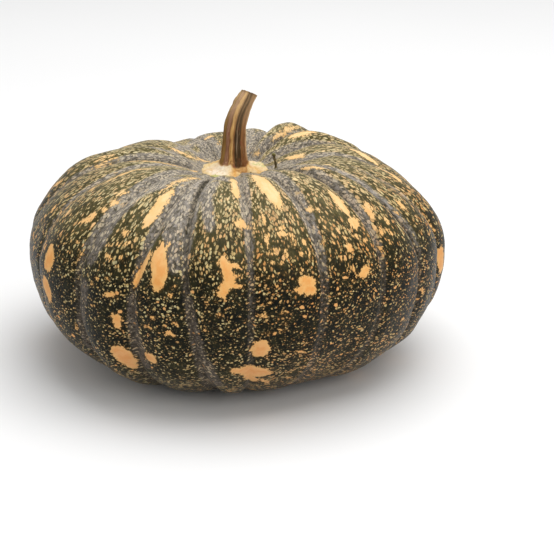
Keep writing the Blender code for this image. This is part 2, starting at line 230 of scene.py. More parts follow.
SOFT_GREY = (
    ((334.1, 12.7, 7), (339, 19, 13), (340.1, 23.8, 14), (340.7, 29, 9.7), (342.6, 33.5, 7), (343.9, 38.3, 5)),
    ((349.4, 14.6, 6.2), (348.6, 19.4, 6.8), (351.1, 24.3, 5.5), (352.5, 28, 3.6)),
    ((325.9, 13.1, 10), (322.6, 16.2, 14), (317, 19.3, 14), (317, 24.1, 13), (316.9, 28.9, 12), (318.5, 34.5, 9), (318.3, 39.2, 7)),
    ((330.7, 7.5, 6), (348.9, 11.5, 8), (355.9, 12.5, 7)),
    ((170.9, 14.5, 3.4), (167, 9.5, 5), (165, 6, 5)),
    ((200.9, 7.4, 5.5), (206.4, 8.1, 6.8), (227.1, 5.6, 4.6), (239.5, 3.8, 3.9)),
    ((205.2, 13.5, 4.9), (220.7, 9.5, 6.5), (238.2, 8.4, 4.9)),
    ((254, 10.5, 3.9), (254.8, 8.3, 4.9), (257.8, 6.4, 4.9), (258.7, 4.9, 3.9)),
    ((332.9, 50.1, 5), (332.7, 53.4, 6), (333.3, 58.6, 8), (333.8, 64.2, 9.5)),
    ((348.4, 47.9, 3.9), (349.4, 52.4, 4.9), (350.6, 57.2, 6.1), (351.9, 65, 6.9), (352, 74.4, 6.3)),
    ((352.1, 62.8, 10.1), (353.4, 70, 11.8)),
    ((317.8, 48.2, 6), (316.5, 52.5, 8), (315, 57.7, 9), (314.8, 64.5, 10)),
)

# ------------------------------------------------------------------- fruit mesh
PER_RIB = 28           # columns across one rib where the skin is finest
NG = len(GROOVES)
G_AZ = np.radians([g[0] for g in GROOVES] + [GROOVES[0][0] + 360.0])
G_DR = np.radians([g[1] for g in GROOVES] + [GROOVES[0][1]])
R_SW, R_RI, R_LO = (np.array([r[k] for r in RIBS]) for k in range(3))


def ramp(table, x):
    """Straight-line interpolation in a table of (x, y)."""
    return np.interp(x, [p[0] for p in table], [p[1] for p in table])


def ease(x):
    x = np.clip(x, 0.0, 1.0)
    return x * x * (3.0 - 2.0 * x)


def outline(t):
    t = np.clip(np.asarray(t, float), 1e-6, 1.0 - 1e-6)
    top = t <= 0.5
    a = np.where(top, t, 1.0 - t) * math.pi
    s, c = np.sin(a), np.maximum(np.cos(a), 0.0)
    r1 = RADIUS * s ** (2.0 / CROWN_ROUND[0])
    z1 = CROWN_RISE * c ** (2.0 / CROWN_ROUND[1]) - CROWN_HOLLOW * np.exp(-(r1 / CROWN_HOLLOW_R) ** 2)
    r2 = RADIUS * s ** (2.0 / BASE_ROUND[0])
    z2 = -BASE_DROP * c ** (2.0 / BASE_ROUND[1]) + BASE_HOLLOW * np.exp(-(r2 / BASE_HOLLOW_R) ** 2)
    return np.where(top, r1, r2), np.where(top, z1, z2)


def skin(rib, u, t):
    """Points of the skin, the azimuth and the distance to the nearest groove."""
    rib, u, t = np.broadcast_arrays(np.asarray(rib), np.asarray(u, float), np.asarray(t, float))
    left = G_AZ[rib] + G_DR[rib] * (t - 0.5)
    right = G_AZ[rib + 1] + G_DR[rib + 1] * (t - 0.5)
    half = 0.5 * (right - left)
    az = left + (u + 1.0) * half
    r, z = outline(t)
    h = 0.0005
    r0, z0 = outline(t - h)
    r2, z2 = outline(t + h)
    n = np.hypot(r2 - r0, z2 - z0)
    nr, nz = (z0 - z2) / n, (r2 - r0) / n
    crown = 1.0 - u * u
    depth = ramp(GROOVE_DEPTH, t)
    side = (1.0 - np.abs(u)) * half * r
    dent = GROOVE * depth * np.abs(u) ** GROOVE_POWER + CREASE * depth * np.exp(-(side / CREASE_W) ** 2)
    fat = R_SW[rib] * np.sin(math.pi * t) + R_LO[rib] * ramp(((0.5, 0.0), (0.68, 1.0), (0.95, 1.0), (1.0, 0.0)), t)
    r1 = r * (1.0 + crown * fat) - nr * dent
    z1 = z * (1.0 + crown * np.where(t < 0.5, R_RI[rib], 0.0)) - nz * dent
    x, y = r1 * np.sin(az), -r1 * np.cos(az)
    z1 = z1 + ramp(((0.0, 1.0), (0.4, 1.0), (0.8, 0.0), (1.0, 0.0)), t) * (LEAN_X * x + LEAN_Y * y)
    k = ease((r1 - SEAT_R) / SEAT_BLEND)
    z1 = np.where(t < 0.5, SEAT_RISE * (1.0 - k) + z1 * k, z1)
    return np.stack([x + AXIS_X, y + AXIS_Y, np.maximum(z1 + GROUND_DROP, 0.0)], -1), az, side


def on_skin(az_deg, t):
    """One point of the skin at an azimuth."""
    az = math.radians(az_deg)
    left = G_AZ + G_DR * (t - 0.5)
    a = (az - left[0]) % (2.0 * math.pi) + left[0]
    rib = min(max(int((a >= left[:-1]).sum()) - 1, 0), NG - 1)
    u = 2.0 * (a - left[rib]) / (left[rib + 1] - left[rib]) - 1.0
    return skin(rib, u, t)[0]


def waves(p, length, count, seed):
    """Smooth irregular field in -1..1 with bumps about `length` apart."""
    g = np.random.default_rng(seed)
    d = g.normal(size=(count, 3))
    d /= np.linalg.norm(d, axis=1)[:, None]
    k = 2.0 * math.pi / (length * g.uniform(0.7, 1.5, count))
    f = np.zeros(len(p))
    for i in range(count):
        f += np.sin(p @ d[i] * k[i] + g.uniform(0.0, 6.28))
    return f / math.sqrt(count)


def smooth_table(table, samples):
    """Catmull-Rom through the rows of a table."""
    rows = np.array(table, float)
    n = len(rows)
    out = []
    for s in samples:
        i = min(int(s), n - 2)
        f = s - i
        p0, p1, p2, p3 = rows[max(i - 1, 0)], rows[i], rows[i + 1], rows[min(i + 2, n - 1)]
        out.append(0.5 * (2 * p1 + (p2 - p0) * f + (2 * p0 - 5 * p1 + 4 * p2 - p3) * f * f
                          + (3 * p1 - 3 * p2 + p3 - p0) * f ** 3))
    return np.array(out)


def apart(a, b):
    """Difference of two azimuths in degrees, -180..180."""
    return (a - b + 180.0) % 360.0 - 180.0


def lobes(deg, *bumps):
    """Sum of bumps (azimuth, height, half width) round the stem."""
    h = np.zeros(np.shape(deg))
    for at, tall, wide in bumps:
        h = h + tall * np.exp(-(np.abs(apart(deg, at)) / wide) ** 1.8)
    return h


def arc_table(t0, t1, n=4000):
    t = np.linspace(t0, t1, n)
    r, z = outline(t)
    s = np.concatenate([[0.0], np.cumsum(np.hypot(np.diff(r), np.diff(z)))])
    return t, s


def t_at_radius(radius, top):
    t = np.linspace(0.0005, 0.5, 20000) if top else np.linspace(0.9995, 0.5, 20000)
    return float(np.interp(radius, outline(t)[0], t))


def spread_rows(t0, t1, spacing):
    t, s = arc_table(t0, t1)
    n = max(2, int(round(s[-1] / spacing)))
    return list(np.interp(np.linspace(0.0, s[-1], n + 1), s, t))


def columns(step):
    v = np.arange(0, PER_RIB, step) / PER_RIB * 2.0 - 1.0
    u = 0.6 * v + 0.4 * np.sin(v * math.pi / 2.0)
    return np.repeat(np.arange(NG), len(u)), np.tile(u, NG)


# one row per ring: (t, column step, radius share inside the seat or the scar)
t_seat, t_in = t_at_radius(SEAT_R, True), t_at_radius(62.0 * MM, True)
t_out, t_scar = t_at_radius(62.0 * MM, False), t_at_radius(SCAR_R, False)
ROWS = [(t_seat, 4, k) for k in (0.2, 0.35)] + [(t_seat, 2, k) for k in (0.43, 0.50, 0.57, 0.64, 0.71, 0.78, 0.85, 0.93)]
ROWS += [(t, 2, 1.0) for t in spread_rows(t_seat, t_in, 1.55 * MM)[:-1]]
ROWS += [(t, 1, 1.0) for t in spread_rows(t_in, t_out, 1.50 * MM)[:-1]]
ROWS += [(t, 2, 1.0) for t in spread_rows(t_out, t_scar, 1.9 * MM)]
ROWS += [(t_scar, 4, k) for k in (0.75, 0.5, 0.25)]

points, vaz, vside, vt, vu, vrib, vcol, starts = [], [], [], [], [], [], [], []
count = 0
for t, step, share in ROWS:
    rib, u = columns(step)
    p, az, side = skin(rib, u, t)
    if t == t_seat:
        p[:, 2] = SEAT_Z
    if share < 1.0:
        mid = np.array([AXIS_X, AXIS_Y, p[:, 2].mean()])
        p = mid + (p - mid) * share
    starts.append((count, len(u)))
    count += len(u)
    points.append(p)
    vaz.append(az)
    vside.append(side)
    vt.append(np.full(len(u), t))
    vu.append(u)
    vrib.append(rib)
    vcol.append(np.arange(len(u)) * step)
points, vaz, vside, vt, vu, vrib, vcol = (np.concatenate(a) for a in (points, vaz, vside, vt, vu, vrib, vcol))
ends = np.array([[AXIS_X, AXIS_Y, SEAT_Z], [AXIS_X, AXIS_Y, points[-5:, 2].mean()]])
points = np.vstack([points, ends])
extra = [(vaz, 0.0), (vside, 0.02), (vu, 0.0), (vrib, 0), (vcol, 0)]
vaz, vside, vu, vrib, vcol = (np.concatenate([a, [v, v]]) for a, v in extra)
vt = np.concatenate([vt, [0.001, 0.999]])

faces = []
for (a0, na), (b0, nb) in zip(starts, starts[1:]):
    if na == nb:
        for i in range(na):
            j = (i + 1) % na
            faces.append((a0 + i, b0 + i, b0 + j, a0 + j))
    elif nb == 2 * na:
        for i in range(na):
            j, k = (i + 1) % na, (2 * i + 2) % nb
            faces.append((a0 + i, b0 + 2 * i, b0 + 2 * i + 1))
            faces.append((a0 + i, b0 + 2 * i + 1, b0 + k, a0 + j))
    else:
        for i in range(nb):
            j, k = (i + 1) % nb, (2 * i + 2) % na
            faces.append((a0 + 2 * i, b0 + i, a0 + 2 * i + 1))
            faces.append((a0 + 2 * i + 1, b0 + i, b0 + j, a0 + k))
n0, n1 = starts[0][1], starts[-1][1]
for i in range(n0):
    faces.append((count, starts[0][0] + i, starts[0][0] + (i + 1) % n0))
for i in range(n1):
    faces.append((count + 1, starts[-1][0] + (i + 1) % n1, starts[-1][0] + i))


def new_mesh(name, verts, polys):
    mesh = bpy.data.meshes.new(name)
    mesh.from_pydata([tuple(v) for v in verts], [], polys)
    mesh.validate()
    mesh.shade_smooth()
    obj = bpy.data.objects.new(name, mesh)
    bpy.context.scene.collection.objects.link(obj)
    return obj


def put_vectors(mesh, name, values, domain="POINT"):
    at = mesh.attributes.new(name, "FLOAT_VECTOR", domain)
    at.data.foreach_set("vector", np.ascontiguousarray(values, dtype=np.float32).ravel())


def normals(mesh):
    n = np.empty(len(mesh.vertices) * 3, np.float32)
    mesh.vertex_normals.foreach_get("vector", n)
    return n.reshape(-1, 3).astype(float)


fruit = new_mesh("fruit_rind", points, faces)
mesh = fruit.data
vn = normals(mesh)

radial = np.hypot(points[:, 0] - AXIS_X, points[:, 1] - AXIS_Y)
near = np.where(np.abs(vu) > 0.0, vrib + (vu > 0.0), vrib).astype(int) % NG
band_w = np.array([g[2] for g in GROOVES])[near]
crease_k = np.array([g[3] for g in GROOVES])[near]

# finer relief than the CAD solid: soft lumps, a sharper crease in each
# groove, puckers that run out from the stem, small dimples
along = points * np.array([1.0, 1.0, 1.0])
relief = 0.42 * MM * waves(points, 42.0 * MM, 14, 3)
relief += 0.16 * MM * waves(points, 15.0 * MM, 24, 5)
relief += 0.045 * MM * waves(points, 5.5 * MM, 40, 9)
fade = ramp(((0.0, 0.0), (0.05, 0.6), (0.10, 1.0), (0.30, 0.8), (0.5, 0.45), (0.8, 0.4), (1.0, 0.0)), vt)
sharp = (0.35 + 0.9 * crease_k) * fade
relief -= 0.85 * MM * sharp * np.exp(-(vside / (1.25 * MM)) ** 2)
relief += 0.22 * MM * sharp * np.exp(-((vside - 2.8 * MM) / (1.3 * MM)) ** 2)
pucker = np.zeros(len(points))
for k, (freq, amp, ph) in enumerate(((31, 0.30, 0.7), (47, 0.22, 2.1), (73, 0.14, 4.0))):
    pucker += amp * MM * np.sin(freq * vaz + ph + 0.6 * np.sin(3 * vaz + k))
# single lobes: azimuth, half width, t, half width, mm along the normal
for at, wide, t0, tw, lift in (
    (163.0, 8.0, 0.28, 0.14, -2.2), (153.5, 4.0, 0.28, 0.12, 0.8), (137.5, 5.5, 0.30, 0.12, -2.4),
    (196.5, 5.0, 0.28, 0.12, -1.8), (209.0, 9.0, 0.28, 0.14, -1.3), (234.0, 15.0, 0.30, 0.14, -1.0),
    (110.0, 13.0, 0.38, 0.14, -1.3), (300.0, 34.0, 0.70, 0.13, -1.0),
):
    relief += lift * MM * lobes(np.degrees(vaz), (at, 1.0, wide)) * np.exp(-((vt - t0) / tw) ** 2)
relief += pucker * ramp(((0.0, 0.0), (0.022, 0.0), (0.026, 0.4), (0.034, 1.0), (0.046, 0.5), (0.065, 0.0), (1.0, 0.0)), radial)
hold = ramp(((0.0, 0.0), (0.0225, 0.0), (0.027, 1.0), (1.0, 1.0)), radial)
hold = np.where(vt > 0.5, 1.0, hold)
points = points + vn * (relief * hold)[:, None]
points[:, 2] = np.maximum(points[:, 2], 0.0)
# the front lobe swells up between the claws of the stem's foot
bulge = lobes(np.degrees(vaz), (30.0, 1.0, 15.0)) * np.exp(-((radial / MM - 18.0) / 6.5) ** 2)
points[:, 2] += np.where(vt < 0.5, 1.5 * MM * bulge, 0.0)
# blossom scar: a small corky button in the hollow underneath
scar = (vt > 0.9) & (radial < 12.0 * MM)
points[scar, 2] += (-0.9 * MM * np.exp(-(radial[scar] / (3.2 * MM)) ** 4)
                    + 0.8 * MM * np.exp(-((radial[scar] - 5.6 * MM) / (1.5 * MM)) ** 2))
points[:, 2] = np.maximum(points[:, 2], 0.0)
mesh.vertices.foreach_set("co", points.astype(np.float32).ravel())
mesh.update()


def stroke_distance(p, stops):
    """Distance (mm) from the edge of a brush stroke; below 0 inside it."""
    pos = np.array([on_skin(a, t / 100.0) for a, t, _ in stops])
    rad = np.array([w / 2000.0 for _, _, w in stops])
    mid, reach = pos.mean(0), 0.0
    reach = np.linalg.norm(pos - mid, axis=1).max() + rad.max() + 0.014
    pick = np.nonzero(np.linalg.norm(p - mid, axis=1) < reach)[0]
    q = p[pick]
    if len(stops) == 1:
        return pick, (np.linalg.norm(q - pos[0], axis=1) - rad[0]) * 1000.0
    best = np.full(len(q), 1e3)
    for a, b, ra, rb in zip(pos, pos[1:], rad, rad[1:]):
        d = b - a
        h = np.clip((q - a) @ d / (d @ d), 0.0, 1.0)
        best = np.minimum(best, (np.linalg.norm(q - a - h[:, None] * d, axis=1) - (ra + h * (rb - ra))) * 1000.0)
    return pick, best


def unseen_marks():
    """Marks of the same kinds for the sides that the camera doesn't see."""
    g = np.random.default_rng(41)
    out = []
    spots = [(a, t) for m in MARKS for a, t, _ in m[:1]]
    tries = 0
    while len(out) < 190 and tries < 6000:
        tries += 1
        az = g.uniform(0.0, 360.0)
        t = g.uniform(7.0, 90.0)
        back = 108.0 < az < 258.0 and t > 18.0 or 40.0 < az < 258.0 and t > 50.0 or 14.0 < az < 300.0 and t > 57.0 or t > 72.0
        if not back:
            continue
        gap = 4.0 if tries % 3 else 10.0
        if any(abs((az - a + 180.0) % 360.0 - 180.0) * 1.6 * math.sin(math.pi * t / 100.0) < gap and abs(t - b) < gap * 0.6 for a, b in spots):
            continue
        spots.append((az, t))
        big = g.uniform() < 0.16
        w = g.uniform(6.0, 12.0) if big else g.uniform(1.8, 3.8)
        if t < 34.0:      # streaks that run down from the crown
            n = g.uniform(2.0, 5.0) if big else g.uniform(0.8, 1.6)
            w *= 0.75 if big else 0.9
            turn = g.uniform(-1.0, 1.0)
            out.append(((az, t, w * 0.35), (az + turn * 0.4, t + n, w * 0.9),
                        (az + turn, t + 2 * n, w), (az + turn, t + 3 * n, w * 0.3)))
        elif t < 58.0:
            dt, da = g.uniform(-1.2, 1.6), g.uniform(-2.5, 2.5)
            m = [(az, t, w), (az + da, t + dt + 1.2, w * g.uniform(0.5, 0.9))]
            if big:
                m.append((az + g.uniform(-3, 3), t + g.uniform(2.5, 4.5), w * 0.6))
            out.append(tuple(m))
        else:             # lower down they spread sideways
            n = g.uniform(2.0, 4.0) if big else g.uniform(0.6, 1.2)
            out.append(((az - n, t + g.uniform(-0.8, 0.8), w * 0.45), (az, t, w * 0.8),
                        (az + n, t + g.uniform(-0.8, 0.8), w * 0.4)))
    return out


edge = np.full(len(points), 12.0)
for stops in list(MARKS) + unseen_marks():
    pick, d = stroke_distance(points, stops)
    edge[pick] = np.minimum(edge[pick], d)
grey = np.zeros(len(points))
for stops in SOFT_GREY:
    pick, d = stroke_distance(points, stops)
    grey[pick] = np.maximum(grey[pick], 1.0 - ease((d + 1.5) / 5.0))
half_w = ramp(((0.0, 4.0), (0.08, 5.6), (0.2, 4.4), (0.4, 2.9), (0.6, 3.0), (0.8, 3.4), (1.0, 4.0)), vt) * band_w
band = 1.0 - ease((vside * 1000.0 - half_w + 1.6) / 3.2)
strength = ramp(((0.0, 0.85), (0.25, 0.80), (0.40, 0.50), (0.6, 0.42), (0.8, 0.5), (1.0, 0.6)), vt)
grey = np.clip(np.maximum(grey * 0.85, band * strength), 0.0, 1.0)

# coordinates of the fleck pattern, in mm: nearly unrolled, so that flecks are
# long near the crown, round at the widest level and lie sideways lower down
tt, ss = arc_table(0.001, 0.999)
stretch = ramp(((0.0, 3.2), (0.2, 3.3), (0.33, 2.3), (0.43, 1.30), (0.55, 1.0), (0.8, 0.85), (1.0, 0.85)), tt)
run = np.concatenate([[0.0], np.cumsum(np.diff(ss) / stretch[1:])]) * 1000.0
rr = outline(vt)[0] * 1000.0
barrel = np.where(vt < 0.42, 135.0 * np.maximum(rr / 135.0, 0.05) ** 0.28,
                  ramp(((0.42, 134.0), (0.5, 124.0), (0.6, 106.0), (0.7, 90.0), (0.8, 70.0), (0.9, 42.0), (1.0, 8.0)), vt))
inseat = (radial < SEAT_R) & (vt < 0.5)
barrel = np.where(inseat, 135.0 * np.maximum(radial * 1000.0 / 135.0, 0.02) ** 0.28, barrel)
level = np.interp(vt, tt, run) - np.where(inseat, (SEAT_R - radial) * 1000.0 / 2.0, 0.0)
put_vectors(mesh, "skin", np.stack([barrel * np.sin(vaz), -barrel * np.cos(vaz), level], -1))
put_vectors(mesh, "lay", np.stack([vside * 1000.0, vt, edge], -1))
# how orange the flecks are: most on the front right, less on the left
deg = (np.degrees(vaz) + 180.0) % 360.0 - 180.0
orange = ramp(((-180, 0.45), (-120, 0.30), (-70, 0.38), (-40, 0.15), (-15, 0.20), (2, 0.55), (20, 0.85),
               (60, 0.75), (110, 0.50), (180, 0.45)), deg) + 0.15 * waves(points, 60.0 * MM, 8, 21)
# the third value of tint sets the painted shade and painted highlight along each crease
put_vectors(mesh, "tint", np.stack([grey, np.clip(orange, 0.0, 1.0), crease_k * fade], -1))

# texture map: an octahedron unfolded to a square, seams underneath
vtheta = 2.0 * math.pi * vcol / (NG * PER_RIB)
areas = np.concatenate([[0.0], np.cumsum(outline(0.5 * (tt[1:] + tt[:-1]))[0] * np.diff(ss))])
sinlat = 1.0 - 2.0 * np.interp(vt, tt, areas / areas[-1])
inner = np.where((radial < SEAT_R) & (vt < 0.5), radial / SEAT_R, np.where((radial < SCAR_R) & (vt > 0.5), radial / SCAR_R, 1.0))
coslat = np.sqrt(np.maximum(1.0 - sinlat ** 2, 0.0)) * inner
sinlat = np.sign(sinlat) * np.sqrt(1.0 - coslat ** 2)
ball = np.stack([coslat * np.cos(vtheta), coslat * np.sin(vtheta), sinlat], -1)
loops = np.empty(len(mesh.loops), np.int32)
mesh.loops.foreach_get("vertex_index", loops)
sizes = np.empty(len(mesh.polygons), np.int32)
mesh.polygons.foreach_get("loop_total", sizes)
owner = np.repeat(np.arange(len(sizes)), sizes)
heart = np.zeros((len(sizes), 3))
np.add.at(heart, owner, ball[loops])
way = np.where(heart[owner][:, :2] >= 0.0, 1.0, -1.0)
b = ball[loops]
flat = b[:, :2] / np.abs(b).sum(1)[:, None]
folded = (1.0 - np.abs(flat[:, ::-1])) * way
flat = np.where(b[:, 2:] >= 0.0, flat, folded)
uv = mesh.uv_layers.new(name="OFBake")
uv.data.foreach_set("uv", (0.5 + 0.496 * flat).astype(np.float32).ravel())

# -------------------------------------------------------------------- stem mesh
STEM_SIDES = 168
# height above the seat, shift right, shift back, radius, ridge share (mm)
STEM = (
    (-0.7, 0.0, 0.0, 20.2, 0.0), (-0.2, 0.0, 0.0, 20.7, 0.0), (0.30, 0.0, 0.0, 20.5, 0.04),
    (0.75, 0.0, 0.0, 19.2, 0.10), (1.15, 0.0, 0.0, 17.2, 0.16), (1.55, 0.0, 0.0, 15.2, 0.26),
    (2.1, 0.0, 0.0, 13.4, 0.42), (2.9, 0.0, 0.0, 11.7, 0.60), (4.0, 0.0, 0.0, 10.1, 0.80),
    (5.6, 0.0, 0.0, 8.9, 0.95), (8.0, 0.0, 0.0, 7.9, 1.0), (13.0, 0.0, 0.1, 7.25, 1.0),
    (19.0, 0.2, 0.3, 6.9, 1.0), (25.0, 0.6, 0.6, 6.7, 1.0), (30.0, 1.3, 1.0, 6.5, 1.0),
    (35.0, 2.6, 1.6, 6.2, 1.0), (39.5, 4.4, 2.3, 5.9, 1.0), (43.5, 6.5, 3.1, 5.5, 1.0),
    (46.8, 8.4, 3.8, 5.15, 1.0), (49.3, 9.9, 4.4, 4.85, 1.0),
)
# ridges round the stem: azimuth, height as a share of the radius, half width
RIDGES = (
    (-13.0, 0.22, 12.0), (19.0, 0.13, 5.0), (50.0, 0.10, 12.0), (80.0, 0.20, 12.0),
    (112.0, 0.08, 9.0), (140.0, 0.20, 15.0), (174.0, 0.07, 8.0), (207.0, 0.20, 15.0),
    (240.0, 0.08, 9.0), (277.0, 0.20, 16.0), (320.0, 0.12, 12.0),
)
# how far the foot spreads over the crown (mm), by azimuth
RIM = ((-180, 19.0), (-150, 21.2), (-126, 20.6), (-100, 20.2), (-75, 20.9), (-50, 21.3), (-35, 21.6), (-15, 21.4),
       (-4, 18.6), (9, 16.0), (20, 12.6), (32, 11.2), (44, 11.6), (52, 15.5), (60, 20.6), (75, 21.4), (95, 21.6),
       (134, 21.6), (151, 18.9), (165, 18.2), (180, 19.0))


samples = np.concatenate([np.linspace(0, 11, 60)[:-1], np.linspace(11, len(STEM) - 1, 76)])
core = smooth_table(STEM, samples)
turn = np.linspace(0.0, 360.0, STEM_SIDES, endpoint=False)
ridge = lobes(turn, *RIDGES) - 0.085
signed = apart(turn, 0.0)
rim = ramp(RIM, signed)
rim = rim + 0.45 * np.sin(np.radians(turn) * 9 + 0.6) + 0.35 * np.sin(np.radians(turn) * 17 + 2.2) + 0.25 * np.sin(np.radians(turn) * 31)
base = np.array([AXIS_X, AXIS_Y, SEAT_Z])
centres = base + np.stack([core[:, 1], core[:, 2], core[:, 0]], -1) * MM
cut_up = np.array([0.36, 0.34, 0.87])
cut_up /= np.linalg.norm(cut_up)
stem_points, s_deg, s_h, s_out = [], [], [], []
for i in range(len(core)):
    high, wide, share = core[i, 0], core[i, 3], core[i, 4]
    ahead = centres[min(i + 1, len(core) - 1)] - centres[max(i - 1, 0)]
    up = ahead / np.linalg.norm(ahead) if high > 8.0 else np.array([0.0, 0.0, 1.0])
    blend = ease((high - 45.6) / 3.5)
    up = up * (1 - blend) + cut_up * blend
    up /= np.linalg.norm(up)
    right = np.array([1.0, 0.0, 0.0]) - up * up[0]
    right /= np.linalg.norm(right)
    back = np.cross(up, right)
    # the foot: the same profile, drawn out as far as the rim reaches
    q = np.where(wide > 8.6, 8.6 + (wide - 8.6) * (rim - 8.6) / (20.7 - 8.6), wide)
    q = q * (1.0 + share * ridge)
    q = np.minimum(q, 21.7) * MM
    a = np.radians(turn - 4.0 * ease(high / 45.0))
    stem_points.append(centres[i] + right * (q * np.sin(a))[:, None] - back * (q * np.cos(a))[:, None])
    s_deg.append(turn)
    s_h.append(np.full(STEM_SIDES, high))
    s_out.append(q / MM)
rows_n = len(stem_points)
# the cut end: rings that run in over a slightly sunken, rough face
last, top_mid = stem_points[-1], stem_points[-1].mean(0)
for part, sink in ((0.965, -0.10), (0.90, 0.05), (0.80, 0.30), (0.66, 0.42), (0.50, 0.46), (0.34, 0.55), (0.18, 0.95), (0.06, 1.25)):
    stem_points.append(top_mid + (last - top_mid) * part - cut_up * sink * MM)
    s_deg.append(turn)
    s_h.append(np.full(STEM_SIDES, 52.0 + (1.0 - part) * 6.0))
    s_out.append(np.full(STEM_SIDES, part))
stem_faces = []
for i in range(len(stem_points) - 1):
    for j in range(STEM_SIDES):
        k = (j + 1) % STEM_SIDES
        stem_faces.append((i * STEM_SIDES + k, (i + 1) * STEM_SIDES + k, (i + 1) * STEM_SIDES + j, i * STEM_SIDES + j))
total = len(stem_points) * STEM_SIDES
stem_points = np.vstack(stem_points + [top_mid - cut_up * 1.35 * MM, base + np.array([0.0, 0.0, -0.0007])])
last_row = total - STEM_SIDES
for j in range(STEM_SIDES):
    k = (j + 1) % STEM_SIDES
    stem_faces.append((total, last_row + j, last_row + k))
    stem_faces.append((total + 1, k, j))
s_deg = np.concatenate(s_deg + [[0.0, 0.0]])
s_h = np.concatenate(s_h + [[58.0, -0.7]])
s_out = np.concatenate(s_out + [[0.0, 0.0]])
s_sgn = apart(s_deg, 0.0)

stem = new_mesh("stem_stalk", stem_points, stem_faces)
sm = stem.data
sn = normals(sm)
# long fibres on the stalk, warts and folds on the foot
cutface = s_h > 50.0
foot = 1.0 - ease((s_h - 2.0) / 3.0)
fib = stem_points * np.array([1.0, 1.0, 0.12])
rel = 0.16 * MM * waves(fib, 3.2 * MM, 30, 31) + 0.08 * MM * waves(fib, 1.5 * MM, 40, 33)
rel += 0.20 * MM * waves(stem_points, 9.0 * MM, 16, 35)
rel = rel * (1.0 - 0.5 * foot) + foot * (0.24 * MM * waves(stem_points, 5.0 * MM, 24, 37) + 0.11 * MM * waves(stem_points, 2.2 * MM, 30, 39))
folds = np.sin(np.radians(s_deg) * 37 + 1.5 * np.sin(np.radians(s_deg) * 5)) + 0.6 * np.sin(np.radians(s_deg) * 61 + 2.0)
rel += foot * 0.17 * MM * folds * ease((s_out - 9.5) / 3.0) * (1.0 - ease((s_out - 18.5) / 2.5))
rel[cutface] = 0.16 * MM * waves(stem_points[cutface], 1.6 * MM, 30, 43)
rel = np.where(s_h < 0.1, 0.0, rel)
stem_points = stem_points + sn * rel[:, None]
sm.vertices.foreach_set("co", stem_points.astype(np.float32).ravel())
sm.update()

# where each tint lies round the stalk: gold on the ridges, painted shade in
# the deep grooves, plum and brown between; the far side repeats the pattern
gold = lobes(s_deg, (-13, 1.0, 10), (140, 0.8, 11), (207, 0.9, 12), (277, 0.45, 10))
groove_shade = lobes(s_deg, (8, 0.95, 6), (28, 1.1, 12), (98, 0.6, 6), (160, 0.7, 8), (187, 0.7, 7), (250, 0.6, 8))
line = lobes(s_deg, (15, 1.0, 2.6), (113, 0.5, 4), (174, 0.6, 4), (239, 0.5, 4))
plum = lobes(s_deg, (-38, 1.0, 13), (120, 0.6, 9), (228, 0.7, 9))
olive = lobes(s_deg, (-72, 1.0, 19), (262, 0.5, 8))
tan = lobes(s_deg, (80, 1.0, 10))
put_vectors(sm, "stalk", np.clip(np.stack([gold, groove_shade, line], -1), 0, 1))
put_vectors(sm, "sides", np.clip(np.stack([plum, olive, tan], -1), 0, 1))
brown_to = ramp(((-180, 10.5), (-100, 9.6), (-60, 9.8), (-30, 9.6), (-14, 9.6), (-6, 10.0), (2, 10.6), (10, 11.2),
                 (20, 12.0), (45, 11.8), (54, 10.2), (64, 9.4), (80, 9.8), (110, 10.5), (180, 10.5)), s_sgn)
brown = 1.0 - ease((s_out - brown_to + 1.2) / 2.4)
brown = np.where(s_h > 6.0, 1.0, brown)
cut = ease((s_h - 50.0) / 0.5)
amber = lobes(s_sgn, (2, 1.0, 9), (66, 0.45, 14), (150, 0.5, 12), (222, 0.5, 12), (290, 0.3, 12))
put_vectors(sm, "ends", np.clip(np.stack([brown, cut, amber], -1), 0, 1))
rim_at = np.interp(s_sgn, np.sort(signed), rim[np.argsort(signed)], period=360.0)
green = lobes(s_sgn, (-30, 1.0, 17)) * ease((s_out - rim_at + 4.0) / 2.5) + 0.55 * lobes(s_sgn, (105, 1.0, 32)) + 0.3 * lobes(s_sgn, (190, 1.0, 40))
milk = lobes(s_sgn, (-48, 1.0, 38), (120, 0.3, 30)) * (1.0 - ease((s_out - rim_at + 3.2) / 2.5))
edge_f = ease((s_out - rim_at + 2.2) / 2.0)
put_vectors(sm, "foot", np.clip(np.stack([green, milk, edge_f], -1), 0, 1))
put_vectors(sm, "fibre", np.stack([s_out * np.sin(np.radians(s_deg)), s_out * np.cos(np.radians(s_deg)), s_h], -1))

# -------------------------------------------------------------- dry little stub
lo, hi = (np.array(c, float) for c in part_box("dried_tendril"))
STUB = (  # height, shift right, shift back, radius (mm)
    (-0.9, 0.0, 0.0, 1.30), (0.0, 0.0, 0.0, 1.20), (0.6, 0.0, 0.0, 0.98), (1.4, -0.05, 0.05, 0.84), (3.0, -0.2, 0.1, 0.74),
    (5.6, -0.6, 0.2, 0.66), (7.4, -1.0, 0.35, 0.68), (8.3, -1.15, 0.4, 0.82), (9.0, -1.3, 0.45, 1.12),
    (9.6, -1.45, 0.5, 1.22), (10.1, -1.55, 0.5, 1.08), (10.45, -1.6, 0.5, 0.70),
)
STUB_SIDES = 28
stub_mid = np.array([26.8 * MM + AXIS_X, -6.3 * MM + AXIS_Y, hi[2] - 11.4 * MM])
rows_s = smooth_table(STUB, np.linspace(0, len(STUB) - 1, 60))
turn_s = np.linspace(0.0, 2.0 * math.pi, STUB_SIDES, endpoint=False)
stub_points = []
